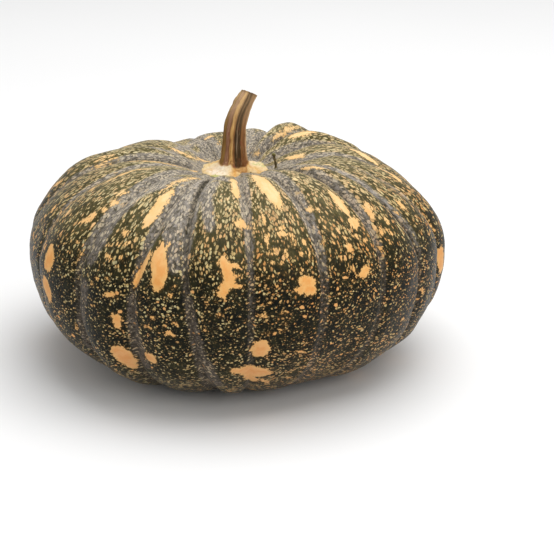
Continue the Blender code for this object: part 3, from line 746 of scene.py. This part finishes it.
for z, x, y, r in rows_s:
    rr_s = r * (1.0 + 0.10 * np.cos(4 * turn_s + 0.25 * z) + 0.05 * np.sin(7 * turn_s + z))
    rr_s = rr_s * (1.0 + 0.10 * math.sin(2.1 * z) * (1 if 1.5 < z < 9 else 0.3))
    stub_points.append(np.stack([stub_mid[0] + (x + rr_s * np.cos(turn_s)) * MM,
                                 stub_mid[1] + (y + rr_s * np.sin(turn_s)) * MM,
                                 np.full(STUB_SIDES, stub_mid[2] + z * MM)], -1))
n_s = len(stub_points)
stub_faces = [(i * STUB_SIDES + j, i * STUB_SIDES + (j + 1) % STUB_SIDES, (i + 1) * STUB_SIDES + (j + 1) % STUB_SIDES, (i + 1) * STUB_SIDES + j)
              for i in range(n_s - 1) for j in range(STUB_SIDES)]
tops, bots = stub_points[-1].mean(0) - np.array([0, 0, 0.25 * MM]), stub_points[0].mean(0)
stub_points = np.vstack(stub_points + [tops, bots])
for j in range(STUB_SIDES):
    k = (j + 1) % STUB_SIDES
    stub_faces.append((n_s * STUB_SIDES, (n_s - 1) * STUB_SIDES + j, (n_s - 1) * STUB_SIDES + k))
    stub_faces.append((n_s * STUB_SIDES + 1, k, j))
stub = new_mesh("dry_stub", stub_points, stub_faces)
tn = normals(stub.data)
stub_points = stub_points + tn * (0.07 * MM * waves(stub_points, 1.4 * MM, 24, 51))[:, None]
stub.data.vertices.foreach_set("co", stub_points.astype(np.float32).ravel())
stub.data.update()
put_vectors(stub.data, "fibre", (stub_points - stub_mid) * 1000.0)


# -------------------------------------------------------------------- materials
class Graph:
    """Short names for building a node material."""

    def __init__(self, name):
        self.mat = bpy.data.materials.new(name)
        self.mat.use_nodes = True
        self.nodes = self.mat.node_tree.nodes
        self.links = self.mat.node_tree.links
        self.shader = self.nodes["Principled BSDF"]

    def put(self, socket, value):
        if value is None:
            return
        if isinstance(value, bpy.types.NodeSocket):
            self.links.new(value, socket)
        elif isinstance(value, (tuple, list)) and socket.type == "RGBA" and len(value) == 3:
            socket.default_value = (*value, 1.0)
        else:
            socket.default_value = value

    def math(self, op, a, b=None, c=None, clamp=False):
        n = self.nodes.new("ShaderNodeMath")
        n.operation = op
        n.use_clamp = clamp
        for s, v in zip(n.inputs, (a, b, c)):
            self.put(s, v)
        return n.outputs[0]

    def vec(self, op, a, b=None, scale=None):
        n = self.nodes.new("ShaderNodeVectorMath")
        n.operation = op
        self.put(n.inputs[0], a)
        self.put(n.inputs[1], b)
        if scale is not None:
            self.put(n.inputs["Scale"], scale)
        return n.outputs[0]

    def split(self, v):
        n = self.nodes.new("ShaderNodeSeparateXYZ")
        self.put(n.inputs[0], v)
        return n.outputs

    def parts(self, colour):
        n = self.nodes.new("ShaderNodeSeparateColor")
        self.put(n.inputs[0], colour)
        return n.outputs

    def attr(self, name):
        n = self.nodes.new("ShaderNodeAttribute")
        n.attribute_name = name
        return n.outputs["Vector"]

    def noise(self, vec, scale, detail=2.0, rough=0.5, distortion=0.0):
        n = self.nodes.new("ShaderNodeTexNoise")
        self.put(n.inputs["Vector"], vec)
        n.inputs["Scale"].default_value = scale
        n.inputs["Detail"].default_value = detail
        n.inputs["Roughness"].default_value = rough
        n.inputs["Distortion"].default_value = distortion
        return n.outputs

    def cells(self, vec, scale, randomness=1.0, feature="F1"):
        n = self.nodes.new("ShaderNodeTexVoronoi")
        n.feature = feature
        self.put(n.inputs["Vector"], vec)
        n.inputs["Scale"].default_value = scale
        n.inputs["Randomness"].default_value = randomness
        return n.outputs

    def mix(self, fac, a, b, blend="MIX"):
        n = self.nodes.new("ShaderNodeMix")
        n.data_type = "RGBA"
        n.blend_type = blend
        n.clamp_factor = True
        self.put(n.inputs[0], fac)
        self.put(n.inputs[6], a)
        self.put(n.inputs[7], b)
        return n.outputs[2]

    def lerp(self, fac, a, b):
        n = self.nodes.new("ShaderNodeMix")
        n.data_type = "FLOAT"
        n.clamp_factor = True
        self.put(n.inputs[0], fac)
        self.put(n.inputs[2], a)
        self.put(n.inputs[3], b)
        return n.outputs[0]

    def step(self, x, lo, hi, to0=0.0, to1=1.0):
        """Smooth step from to0 at lo to to1 at hi."""
        n = self.nodes.new("ShaderNodeMapRange")
        n.interpolation_type = "SMOOTHSTEP"
        for s, v in zip(n.inputs, (x, lo, hi, to0, to1)):
            self.put(s, v)
        return n.outputs[0]

    def line(self, x, lo, hi, to0=0.0, to1=1.0):
        n = self.nodes.new("ShaderNodeMapRange")
        n.clamp = True
        for s, v in zip(n.inputs, (x, lo, hi, to0, to1)):
            self.put(s, v)
        return n.outputs[0]

    def curve(self, x, stops):
        """Colour ramp: stops are (position, colour)."""
        n = self.nodes.new("ShaderNodeValToRGB")
        e = n.color_ramp.elements
        while len(e) > 1:
            e.remove(e[-1])
        for i, (pos, col) in enumerate(stops):
            el = e[0] if i == 0 else e.new(pos)
            el.position = pos
            el.color = (*col, 1.0)
        self.put(n.inputs[0], x)
        return n.outputs[0]

    def curve_value(self, x, stops):
        """Piecewise line through (x, y) stops, as one number."""
        n = self.nodes.new("ShaderNodeFloatCurve")
        c = n.mapping.curves[0]
        n.mapping.use_clip = False
        pts = [(0.0, stops[0][1])] + [p for p in stops if 0.0 < p[0] < 1.0] + [(1.0, stops[-1][1])]
        while len(c.points) < len(pts):
            c.points.new(0.5, 0.5)
        for p, (px, py) in zip(c.points, pts):
            p.location = (px, py)
            p.handle_type = "VECTOR"
        n.mapping.update()
        self.put(n.inputs["Factor"], 1.0)
        self.put(n.inputs["Value"], x)
        return n.outputs[0]

    def bump(self, height, distance, strength=1.0, normal=None):
        n = self.nodes.new("ShaderNodeBump")
        n.inputs["Strength"].default_value = strength
        n.inputs["Distance"].default_value = distance
        self.put(n.inputs["Height"], height)
        self.put(n.inputs["Normal"], normal)
        return n.outputs[0]


def rind_material():
    g = Graph("rind_mottled")
    skin_v = g.attr("skin")
    side, t, edge = g.split(g.attr("lay"))
    grey, orange, crease = g.split(g.attr("tint"))

    # the flecks swirl a little and have uneven outlines
    swirl = g.vec("SCALE", g.vec("SUBTRACT", g.noise(skin_v, 0.12, 2.0)["Color"], (0.5, 0.5, 0.5)), scale=5.0)
    p1 = g.vec("ADD", skin_v, swirl)
    jag = g.vec("SCALE", g.vec("SUBTRACT", g.noise(p1, 0.80, 2.0, 0.6)["Color"], (0.5, 0.5, 0.5)), scale=1.3)
    p2 = g.vec("ADD", p1, jag)
    patch = g.noise(p1, 0.050, 2.0)["Fac"]           # where flecks crowd
    shoulder = g.curve(g.math("ADD", t, g.line(patch, 0.3, 0.7, -0.03, 0.03)),
                       ((0.10, (1, 1, 1)), (0.22, (0.80, 0.80, 0.80)), (0.32, (0.45, 0.45, 0.45)), (0.40, (0.12, 0.12, 0.12)),
                        (0.48, (0.0, 0.0, 0.0)), (0.58, (0.0, 0.0, 0.0)), (0.72, (0.16, 0.16, 0.16)), (0.95, (0.22, 0.22, 0.22))))

    # small flecks: one to a cell, kept apart by thin dark lines
    first = g.cells(p2, 0.57)
    second = g.cells(p2, 0.57, feature="F2")
    rnd = g.parts(first["Color"])
    size1 = g.math("ADD", g.math("MULTIPLY", rnd[0], 0.24), g.curve_value(t, ((0.18, 0.36), (0.34, 0.29), (0.43, 0.22), (0.56, 0.18), (0.68, 0.24), (1.0, 0.26))))
    size1 = g.math("ADD", size1, g.line(patch, 0.32, 0.68, -0.07, 0.07))
    size1 = g.math("ADD", size1, g.lerp(orange, -0.01, 0.03))
    size1 = g.math("SUBTRACT", size1, g.math("MULTIPLY", g.math("LESS_THAN", rnd[1], g.line(t, 0.22, 0.45, 0.06, 0.26)), 0.6))
    apart = g.math("SUBTRACT", second["Distance"], first["Distance"])
    near1 = g.math("MINIMUM", g.math("SUBTRACT", size1, first["Distance"]), g.math("MULTIPLY", g.math("SUBTRACT", apart, 0.07), 0.9))
    fleck1 = g.step(near1, -0.05, 0.07)
    halo1 = g.step(near1, -0.30, 0.0)

    # larger spots
    large = g.cells(g.vec("ADD", p2, (31.0, 7.0, 19.0)), 0.205)
    l_rand = g.parts(large["Color"])
    keep = g.math("LESS_THAN", l_rand[1], g.math("ADD", g.lerp(orange, 0.12, 0.42), g.line(t, 0.2, 0.4, -0.06, 0.0)))
    size2 = g.math("ADD", g.math("MULTIPLY", l_rand[0], 0.15), 0.12)
    near2 = g.math("SUBTRACT", size2, large["Distance"])
    fleck2 = g.math("MULTIPLY", g.step(near2, -0.025, 0.035), keep)
    halo2 = g.math("MULTIPLY", g.step(near2, -0.12, 0.0), keep)

    tiny = g.cells(g.vec("ADD", p2, (3.0, 57.0, 11.0)), 0.95)
    t_rand = g.parts(tiny["Color"])
    fleck3 = g.math("MULTIPLY", g.step(tiny["Distance"], 0.42, 0.26), g.step(t_rand[0], 0.35, 0.75))

    # ground between the flecks: black green, olive on the shoulder
    tone = g.noise(skin_v, 0.16, 3.0, 0.6)["Fac"]
    fine = g.noise(skin_v, 1.3, 2.0, 0.6)["Fac"]
    deep = g.curve(tone, ((0.30, (0.0022, 0.0022, 0.0008)), (0.50, (0.0065, 0.0062, 0.0018)), (0.70, (0.019, 0.017, 0.0045))))
    mossy = g.curve(tone, ((0.30, (0.055, 0.042, 0.010)), (0.50, (0.095, 0.076, 0.020)), (0.70, (0.150, 0.128, 0.046))))
    ground = g.mix(shoulder, deep, mossy)
    teal = g.mix(shoulder, (0.010, 0.022, 0.020), (0.100, 0.125, 0.105))
    ground = g.mix(g.step(fine, 0.52, 0.72, 0.0, 0.45), ground, teal)
    halo = g.math("MAXIMUM", halo1, halo2)
    ground = g.mix(g.math("MULTIPLY", halo, 0.55), ground, g.mix(shoulder, (0.042, 0.026, 0.007), (0.150, 0.115, 0.045)))
    # grey, slightly mauve ground in the grooves and on the crown
    g_noise = g.noise(skin_v, 0.60, 3.0, 0.65)["Fac"]
    grey_lo = g.curve(g_noise, ((0.32, (0.040, 0.031, 0.022)), (0.50, (0.085, 0.068, 0.052)), (0.68, (0.155, 0.128, 0.106))))
    grey_hi = g.curve(g_noise, ((0.32, (0.130, 0.112, 0.088)), (0.50, (0.225, 0.198, 0.168)), (0.68, (0.340, 0.305, 0.272))))
    grey_c = g.mix(g.line(t, 0.26, 0.46), grey_hi, grey_lo)
    b_mask = g.step(g.math("ADD", grey, g.math("MULTIPLY", g.math("SUBTRACT", g_noise, 0.5), 0.8)), 0.10, 0.80, 0.0, 0.92)
    ground = g.mix(b_mask, ground, grey_c)
    d_vec = g.vec("MULTIPLY", p2, (1.0, 1.0, 0.55))
    dash = g.step(g.noise(d_vec, 1.05, 2.0, 0.6)["Fac"], 0.53, 0.63)
    ground = g.mix(g.math("MULTIPLY", g.math("MULTIPLY", dash, b_mask), 0.85), ground, g.mix(g.line(t, 0.26, 0.46), (0.050, 0.043, 0.020), (0.012, 0.010, 0.005)))

    # flecks: cream, straw and orange; paler and duller in the grey bands
    warm = g.math("ADD", g.math("MULTIPLY", rnd[2], 0.72), g.math("MULTIPLY", orange, 0.42))
    fleck_c = g.curve(warm, ((0.05, (0.56, 0.49, 0.27)), (0.30, (0.68, 0.54, 0.25)), (0.52, (0.64, 0.44, 0.17)),
                             (0.75, (0.72, 0.42, 0.16)), (0.95, (0.74, 0.34, 0.10))))
    # painted sheen: flecks made paler and duller towards the crown, where the white sheen lies on the top
    fleck_c = g.mix(g.line(t, 0.14, 0.36, 0.60, 0.0), fleck_c, (0.78, 0.66, 0.40))
    fleck_c = g.mix(g.step(t, 0.46, 0.72, 0.0, 0.35), fleck_c, (0.60, 0.43, 0.24))
    fleck_c = g.mix(g.math("MULTIPLY", b_mask, 0.75), fleck_c, g.mix(g.line(t, 0.26, 0.46), (0.66, 0.58, 0.47), (0.46, 0.36, 0.26)))
    strength = g.math("MULTIPLY", g.lerp(rnd[1], 0.50, 1.0), g.lerp(b_mask, 1.0, 0.85))
    col = g.mix(g.math("MULTIPLY", fleck3, 0.40), ground, g.mix(0.5, ground, fleck_c))
    col = g.mix(g.math("MULTIPLY", fleck1, strength), col, fleck_c)
    spot_c = g.mix(g.line(t, 0.15, 0.45), (0.86, 0.62, 0.32), (0.76, 0.38, 0.13))
    col = g.mix(g.math("MULTIPLY", fleck2, g.lerp(b_mask, 1.0, 0.45)), col, spot_c)

    # painted shade: a dark line along the crease of each groove, where shade falls in the fold
    c_noise = g.noise(skin_v, 0.30, 2.0)["Fac"]
    deepc = g.step(crease, 0.45, 0.75)
    crease_shade_line = g.math("MULTIPLY", g.step(g.math("DIVIDE", side, g.lerp(deepc, 1.3, 2.0)), 1.0, 0.25),
                    g.math("MULTIPLY", g.math("MAXIMUM", crease, deepc), g.step(g.math("ADD", c_noise, g.math("MULTIPLY", deepc, 0.12)), 0.34, 0.58)))
    col = g.mix(g.math("MULTIPLY", crease_shade_line, 0.92), col, g.mix(shoulder, (0.008, 0.007, 0.003), (0.022, 0.018, 0.006)))
    # painted highlight: a pale line on the lip beside each deep crease
    crease_lip_highlight = g.math("MULTIPLY", g.math("MULTIPLY", g.step(side, 1.8, 2.6), g.step(side, 6.0, 3.6)), deepc)
    col = g.mix(g.math("MULTIPLY", crease_lip_highlight, g.step(g_noise, 0.35, 0.60, 0.0, 0.55)), col, (0.40, 0.36, 0.32))

    # pale marks whose edges run out into the flecks
    rag = g.noise(skin_v, 0.95, 3.0, 0.65)["Fac"]
    rag2 = g.noise(skin_v, 0.30, 2.0)["Fac"]
    inside = g.math("ADD", edge, g.math("MULTIPLY", g.math("SUBTRACT", rag, 0.5), 4.6))
    inside = g.math("ADD", inside, g.math("MULTIPLY", g.math("SUBTRACT", rag2, 0.5), 3.0))
    inside = g.math("SUBTRACT", g.math("ADD", inside, 0.40), g.math("MULTIPLY", fleck1, 1.0))
    mark = g.step(inside, 0.30, -0.30)
    rim = g.step(inside, 1.5, 0.2)
    col = g.mix(g.math("MULTIPLY", rim, 0.45), col, g.mix(shoulder, (0.080, 0.040, 0.008), (0.24, 0.18, 0.07)))
    m_noise = g.noise(skin_v, 0.22, 3.0, 0.6)["Fac"]
    top_c = g.mix(g.step(m_noise, 0.35, 0.65), (0.93, 0.63, 0.33), (0.90, 0.55, 0.24))
    mid_c = g.mix(g.step(m_noise, 0.35, 0.65), (0.84, 0.45, 0.15), (0.79, 0.35, 0.095))
    low_c = g.mix(g.step(m_noise, 0.35, 0.65), (0.72, 0.37, 0.15), (0.68, 0.31, 0.11))
    mark_c = g.mix(g.line(t, 0.20, 0.42), top_c, mid_c)
    mark_c = g.mix(g.line(t, 0.46, 0.62), mark_c, low_c)
    mark_c = g.mix(g.step(inside, -3.0, -0.2, 0.0, 0.35), mark_c, (0.78, 0.52, 0.20))
    mark_c = g.mix(g.step(fine, 0.60, 0.76, 0.0, 0.25), mark_c, (0.58, 0.27, 0.07))
    col = g.mix(mark, col, mark_c)

    # corky blossom scar in the middle of the underside
    scar_m = g.step(t, 0.978, 0.990)
    col = g.mix(scar_m, col, g.mix(fine, (0.30, 0.20, 0.10), (0.14, 0.09, 0.045)))

    g.put(g.shader.inputs["Base Color"], col)
    pale = g.math("MAXIMUM", g.math("MAXIMUM", fleck1, fleck2), mark)
    rough = g.math("ADD", g.lerp(pale, 0.42, 0.54), g.math("MULTIPLY", g.math("SUBTRACT", fine, 0.5), 0.12))
    rough = g.math("ADD", rough, g.math("MULTIPLY", b_mask, 0.08))
    rough = g.math("ADD", rough, g.math("MULTIPLY", scar_m, 0.25))
    g.put(g.shader.inputs["Roughness"], rough)
    g.shader.inputs["IOR"].default_value = 1.45
    g.shader.inputs["Specular IOR Level"].default_value = 0.10
    g.shader.inputs["Sheen Weight"].default_value = 0.06
    g.shader.inputs["Sheen Roughness"].default_value = 0.45

    pores = g.noise(skin_v, 2.2, 2.0, 0.6)["Fac"]
    dents = g.noise(skin_v, 0.42, 3.0, 0.55)["Fac"]
    h = g.math("ADD", g.math("MULTIPLY", pale, 0.30), g.math("MULTIPLY", pores, 0.45))
    h = g.math("ADD", h, g.math("MULTIPLY", dents, 1.1))
    h = g.math("SUBTRACT", h, g.math("MULTIPLY", crease_shade_line, 0.8))
    g.put(g.shader.inputs["Normal"], g.bump(h, 0.00035, 0.8))
    return g.mat


def stalk_material():
    g = Graph("stalk_dry")
    fibre = g.attr("fibre")
    gold, groove_shade, line = g.split(g.attr("stalk"))
    plum, olive, tan = g.split(g.attr("sides"))
    brown, cut, amber = g.split(g.attr("ends"))
    green, milk, edge = g.split(g.attr("foot"))
    x, y, h = g.split(fibre)
    n = g.nodes.new("ShaderNodeCombineXYZ")
    for s, v in zip(n.inputs, (x, y, g.math("MULTIPLY", h, 0.10))):
        g.put(s, v)
    long_v = n.outputs[0]
    strands = g.noise(long_v, 1.1, 4.0, 0.65)["Fac"]
    streak = g.noise(long_v, 0.45, 3.0, 0.6)["Fac"]
    blot = g.noise(fibre, 0.17, 3.0, 0.6)["Fac"]
    fine = g.noise(fibre, 1.6, 3.0, 0.65)["Fac"]

    def soft(mask, spread=0.7):
        """A mask whose edge follows the fibres."""
        return g.step(g.math("ADD", mask, g.math("MULTIPLY", g.math("SUBTRACT", streak, 0.5), spread)), 0.22, 0.78)

    col = g.curve(streak, ((0.30, (0.17, 0.066, 0.020)), (0.50, (0.27, 0.115, 0.036)), (0.72, (0.40, 0.20, 0.070))))
    col = g.mix(g.math("MULTIPLY", soft(olive), 0.9), col, g.curve(streak, ((0.30, (0.13, 0.062, 0.010)), (0.70, (0.34, 0.19, 0.045)))))
    col = g.mix(g.math("MULTIPLY", soft(plum), 0.9), col, g.curve(strands, ((0.30, (0.20, 0.088, 0.052)), (0.70, (0.42, 0.22, 0.130)))))
    col = g.mix(soft(tan), col, g.curve(strands, ((0.30, (0.46, 0.26, 0.12)), (0.70, (0.74, 0.49, 0.27)))))
    col = g.mix(soft(gold), col, g.curve(strands, ((0.30, (0.46, 0.22, 0.050)), (0.70, (0.80, 0.50, 0.185)))))
    # painted shade: the deep grooves of the stalk made near black
    col = g.mix(g.math("MULTIPLY", soft(groove_shade), 0.94), col, g.curve(strands, ((0.30, (0.022, 0.013, 0.005)), (0.70, (0.095, 0.055, 0.020)))))
    low_only = g.math("MULTIPLY", g.step(h, 34.0, 22.0), g.step(h, 8.0, 16.0))
    col = g.mix(g.math("MULTIPLY", soft(line, 0.5), g.math("MULTIPLY", low_only, 0.75)), col, (0.42, 0.32, 0.21))
    col = g.mix(g.step(strands, 0.56, 0.74, 0.0, 0.45), col, (0.66, 0.44, 0.22))
    col = g.mix(g.step(strands, 0.44, 0.30, 0.0, 0.50), col, (0.085, 0.042, 0.014))
    red = g.mix(g.step(fine, 0.4, 0.6), (0.30, 0.075, 0.040), (0.19, 0.060, 0.030))
    col = g.mix(g.step(blot, 0.58, 0.72, 0.0, 0.5), col, red)
    # paler towards the cut, with the painted shade kept in the grooves
    col = g.mix(g.step(h, 24.0, 46.0, 0.0, 0.42), col, g.mix(g.math("MULTIPLY", groove_shade, 0.8), (0.74, 0.52, 0.29), (0.17, 0.10, 0.045)))
    # darker and redder just above the foot on the right
    low = g.math("MULTIPLY", g.step(h, 13.0, 4.0), g.step(x, 1.0, 6.0))
    col = g.mix(g.math("MULTIPLY", low, 0.6), col, (0.15, 0.050, 0.010))

    # the foot: cream and pale yellow, amber where a ridge runs out over it
    ray = g.noise(long_v, 0.60, 3.0, 0.6)["Fac"]
    mottle = g.math("ADD", g.math("MULTIPLY", blot, 0.55), g.math("MULTIPLY", fine, 0.45))
    foot = g.curve(mottle, ((0.34, (0.58, 0.37, 0.12)), (0.45, (0.78, 0.55, 0.23)), (0.56, (0.88, 0.70, 0.40)), (0.68, (0.90, 0.76, 0.52))))
    foot = g.mix(g.math("MULTIPLY", milk, g.step(mottle, 0.36, 0.52, 0.35, 0.9)), foot, (0.93, 0.82, 0.66))
    foot = g.mix(g.math("MULTIPLY", amber, 0.95), foot, g.curve(streak, ((0.35, (0.50, 0.20, 0.030)), (0.65, (0.84, 0.47, 0.13)))))
    foot = g.mix(g.step(ray, 0.52, 0.70, 0.0, 0.45), foot, (0.66, 0.36, 0.10))
    greens = g.step(g.math("ADD", green, g.math("MULTIPLY", g.math("SUBTRACT", g.noise(fibre, 0.36, 2.0)["Fac"], 0.5), 1.6)), 0.40, 0.72)
    foot = g.mix(g.math("MULTIPLY", greens, 0.8), foot, g.mix(g.step(fine, 0.4, 0.6), (0.38, 0.39, 0.10), (0.60, 0.60, 0.24)))
    flecks = g.cells(fibre, 0.55)
    f_rand = g.parts(flecks["Color"])
    f_mask = g.math("MULTIPLY", g.step(flecks["Distance"], 0.42, 0.26), g.step(f_rand[0], 0.55, 0.75))
    foot = g.mix(g.math("MULTIPLY", f_mask, g.math("MULTIPLY", edge, 0.85)), foot, (0.090, 0.075, 0.022))
    foot = g.mix(g.step(brown, 0.05, 0.6, 0.0, 0.85), foot, g.curve(blot, ((0.35, (0.42, 0.17, 0.035)), (0.65, (0.66, 0.36, 0.11)))))
    where = g.math("ADD", brown, g.math("MULTIPLY", g.math("SUBTRACT", streak, 0.5), 0.7))
    col = g.mix(g.step(g.math("MULTIPLY", where, g.step(h, 1.6, 5.0)), 0.25, 0.80), foot, col)

    # the cut end: pale pith, darker wood ring and a ragged dark rim
    ring = g.curve(g.math("ADD", g.math("MULTIPLY", g.math("SUBTRACT", h, 52.0), 0.1667), g.math("MULTIPLY", g.math("SUBTRACT", fine, 0.5), 0.15)),
                   ((0.02, (0.10, 0.060, 0.025)), (0.12, (0.24, 0.16, 0.080)), (0.30, (0.42, 0.31, 0.17)), (0.62, (0.50, 0.40, 0.25)),
                    (0.80, (0.22, 0.16, 0.09)), (0.95, (0.045, 0.030, 0.018))))
    col = g.mix(cut, col, ring)
    col = g.mix(g.math("MULTIPLY", g.step(h, 47.9, 49.0), g.math("SUBTRACT", 1.0, cut)), col, g.mix(0.45, col, (0.12, 0.065, 0.022)))

    g.put(g.shader.inputs["Base Color"], col)
    g.put(g.shader.inputs["Roughness"], g.math("ADD", g.lerp(brown, 0.50, 0.60), g.math("MULTIPLY", g.math("SUBTRACT", strands, 0.5), 0.25)))
    g.shader.inputs["Specular IOR Level"].default_value = 0.2
    hgt = g.math("ADD", g.math("MULTIPLY", strands, 1.0), g.math("MULTIPLY", fine, 0.6))
    g.put(g.shader.inputs["Normal"], g.bump(hgt, 0.0006, 0.8))
    return g.mat


def stub_material():
    g = Graph("stub_dry")
    v = g.attr("fibre")
    x, y, h = g.split(v)
    n = g.nodes.new("ShaderNodeCombineXYZ")
    for s, val in zip(n.inputs, (x, y, g.math("MULTIPLY", h, 0.2))):
        g.put(s, val)
    a = g.noise(n.outputs[0], 1.6, 4.0, 0.65)["Fac"]
    b = g.noise(v, 1.1, 3.0, 0.6)["Fac"]
    col = g.curve(a, ((0.30, (0.028, 0.019, 0.007)), (0.50, (0.085, 0.060, 0.020)), (0.72, (0.24, 0.18, 0.075))))
    col = g.mix(g.step(h, 8.6, 10.0, 0.0, 0.8), col, g.curve(b, ((0.35, (0.10, 0.095, 0.022)), (0.65, (0.25, 0.22, 0.065)))))
    col = g.mix(g.step(h, 1.6, 0.2, 0.0, 0.8), col, (0.42, 0.36, 0.18))
    g.put(g.shader.inputs["Base Color"], col)
    g.put(g.shader.inputs["Roughness"], g.line(a, 0.3, 0.7, 0.85, 0.6))
    g.shader.inputs["Specular IOR Level"].default_value = 0.3
    g.put(g.shader.inputs["Normal"], g.bump(g.math("ADD", a, b), 0.0003, 0.8))
    return g.mat


def floor_material():
    g = Graph("floor_pale")
    n = g.nodes.new("ShaderNodeTexCoord")
    a = g.noise(n.outputs["Object"], 3.0, 2.0)["Fac"]
    g.put(g.shader.inputs["Base Color"], g.mix(a, (0.86, 0.86, 0.86), (0.89, 0.89, 0.888)))
    g.put(g.shader.inputs["Roughness"], g.line(a, 0.3, 0.7, 0.88, 0.94))
    g.shader.inputs["Specular IOR Level"].default_value = 0.2
    return g.mat


for piece, node, slot, mat in ((fruit, "fruit", "rind", rind_material()),
                               (stem, "stem", "stalk", stalk_material()),
                               (stub, "dried_tendril", "dry_stub", stub_material())):
    piece.data.materials.clear()
    piece.data.materials.append(mat)
    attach(piece, "root")
    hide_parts(node)

# ----------------------------------------------------------------------- studio
floor = new_mesh("floor", [(-6, -6, 0), (6, -6, 0), (6, 6, 0), (-6, 6, 0)], [(0, 1, 2, 3)])
floor.data.materials.append(floor_material())

world = bpy.data.worlds.new("studio")
bpy.context.scene.world = world
world.use_nodes = True
world.node_tree.nodes["Background"].inputs["Color"].default_value = (1.0, 1.0, 1.0, 1.0)
world.node_tree.nodes["Background"].inputs["Strength"].default_value = 0.55


def soft_light(name, place, aim, size, power, colour=(1.0, 1.0, 1.0)):
    lamp = bpy.data.lights.new(name, "AREA")
    lamp.shape = "RECTANGLE"
    lamp.size, lamp.size_y = size
    lamp.energy = power
    lamp.color = colour
    obj = bpy.data.objects.new(name, lamp)
    bpy.context.scene.collection.objects.link(obj)
    obj.location = place
    obj.rotation_euler = (Vector(aim) - Vector(place)).to_track_quat("-Z", "Y").to_euler()
    return obj


soft_light("overhead", (0.25, 0.15, 1.5), (0.0, 0.0, 0.08), (1.8, 1.5), 22.0)
soft_light("key", (0.75, -1.5, 1.05), (0.0, 0.0, 0.08), (1.0, 1.0), 6.0)

# ----------------------------------------------------------------------- camera
# Elevation 19 degrees, 1.3 m from the growth axis; the axis lands left of and
# above the middle of the frame, so the camera aims a little right and down.
ELEVATION, DISTANCE, FOCAL = math.radians(19.0), 1.3, 1999.5
aim = Vector((AXIS_X, AXIS_Y, GROUND_DROP))
place = aim + DISTANCE * Vector((0.0, -math.cos(ELEVATION), math.sin(ELEVATION)))
look = (aim - place).to_track_quat("-Z", "Y")
seen = Vector((233.97 - 277.0, 277.0 - 237.19, -FOCAL)).normalized()
turned = look @ seen.rotation_difference(Vector((0.0, 0.0, -1.0)))
lens = bpy.data.cameras.new("camera")
lens.sensor_width = 36.0
lens.lens = FOCAL * 36.0 / 554.0
lens.clip_start, lens.clip_end = 0.05, 50.0
camera = bpy.data.objects.new("camera", lens)
bpy.context.scene.collection.objects.link(camera)
camera.matrix_world = Matrix.Translation(place) @ turned.to_matrix().to_4x4()
bpy.context.scene.camera = camera
bpy.context.scene.view_settings.view_transform = "Standard"
bpy.context.scene.view_settings.look = "None"

bpy.context.view_layer.update()
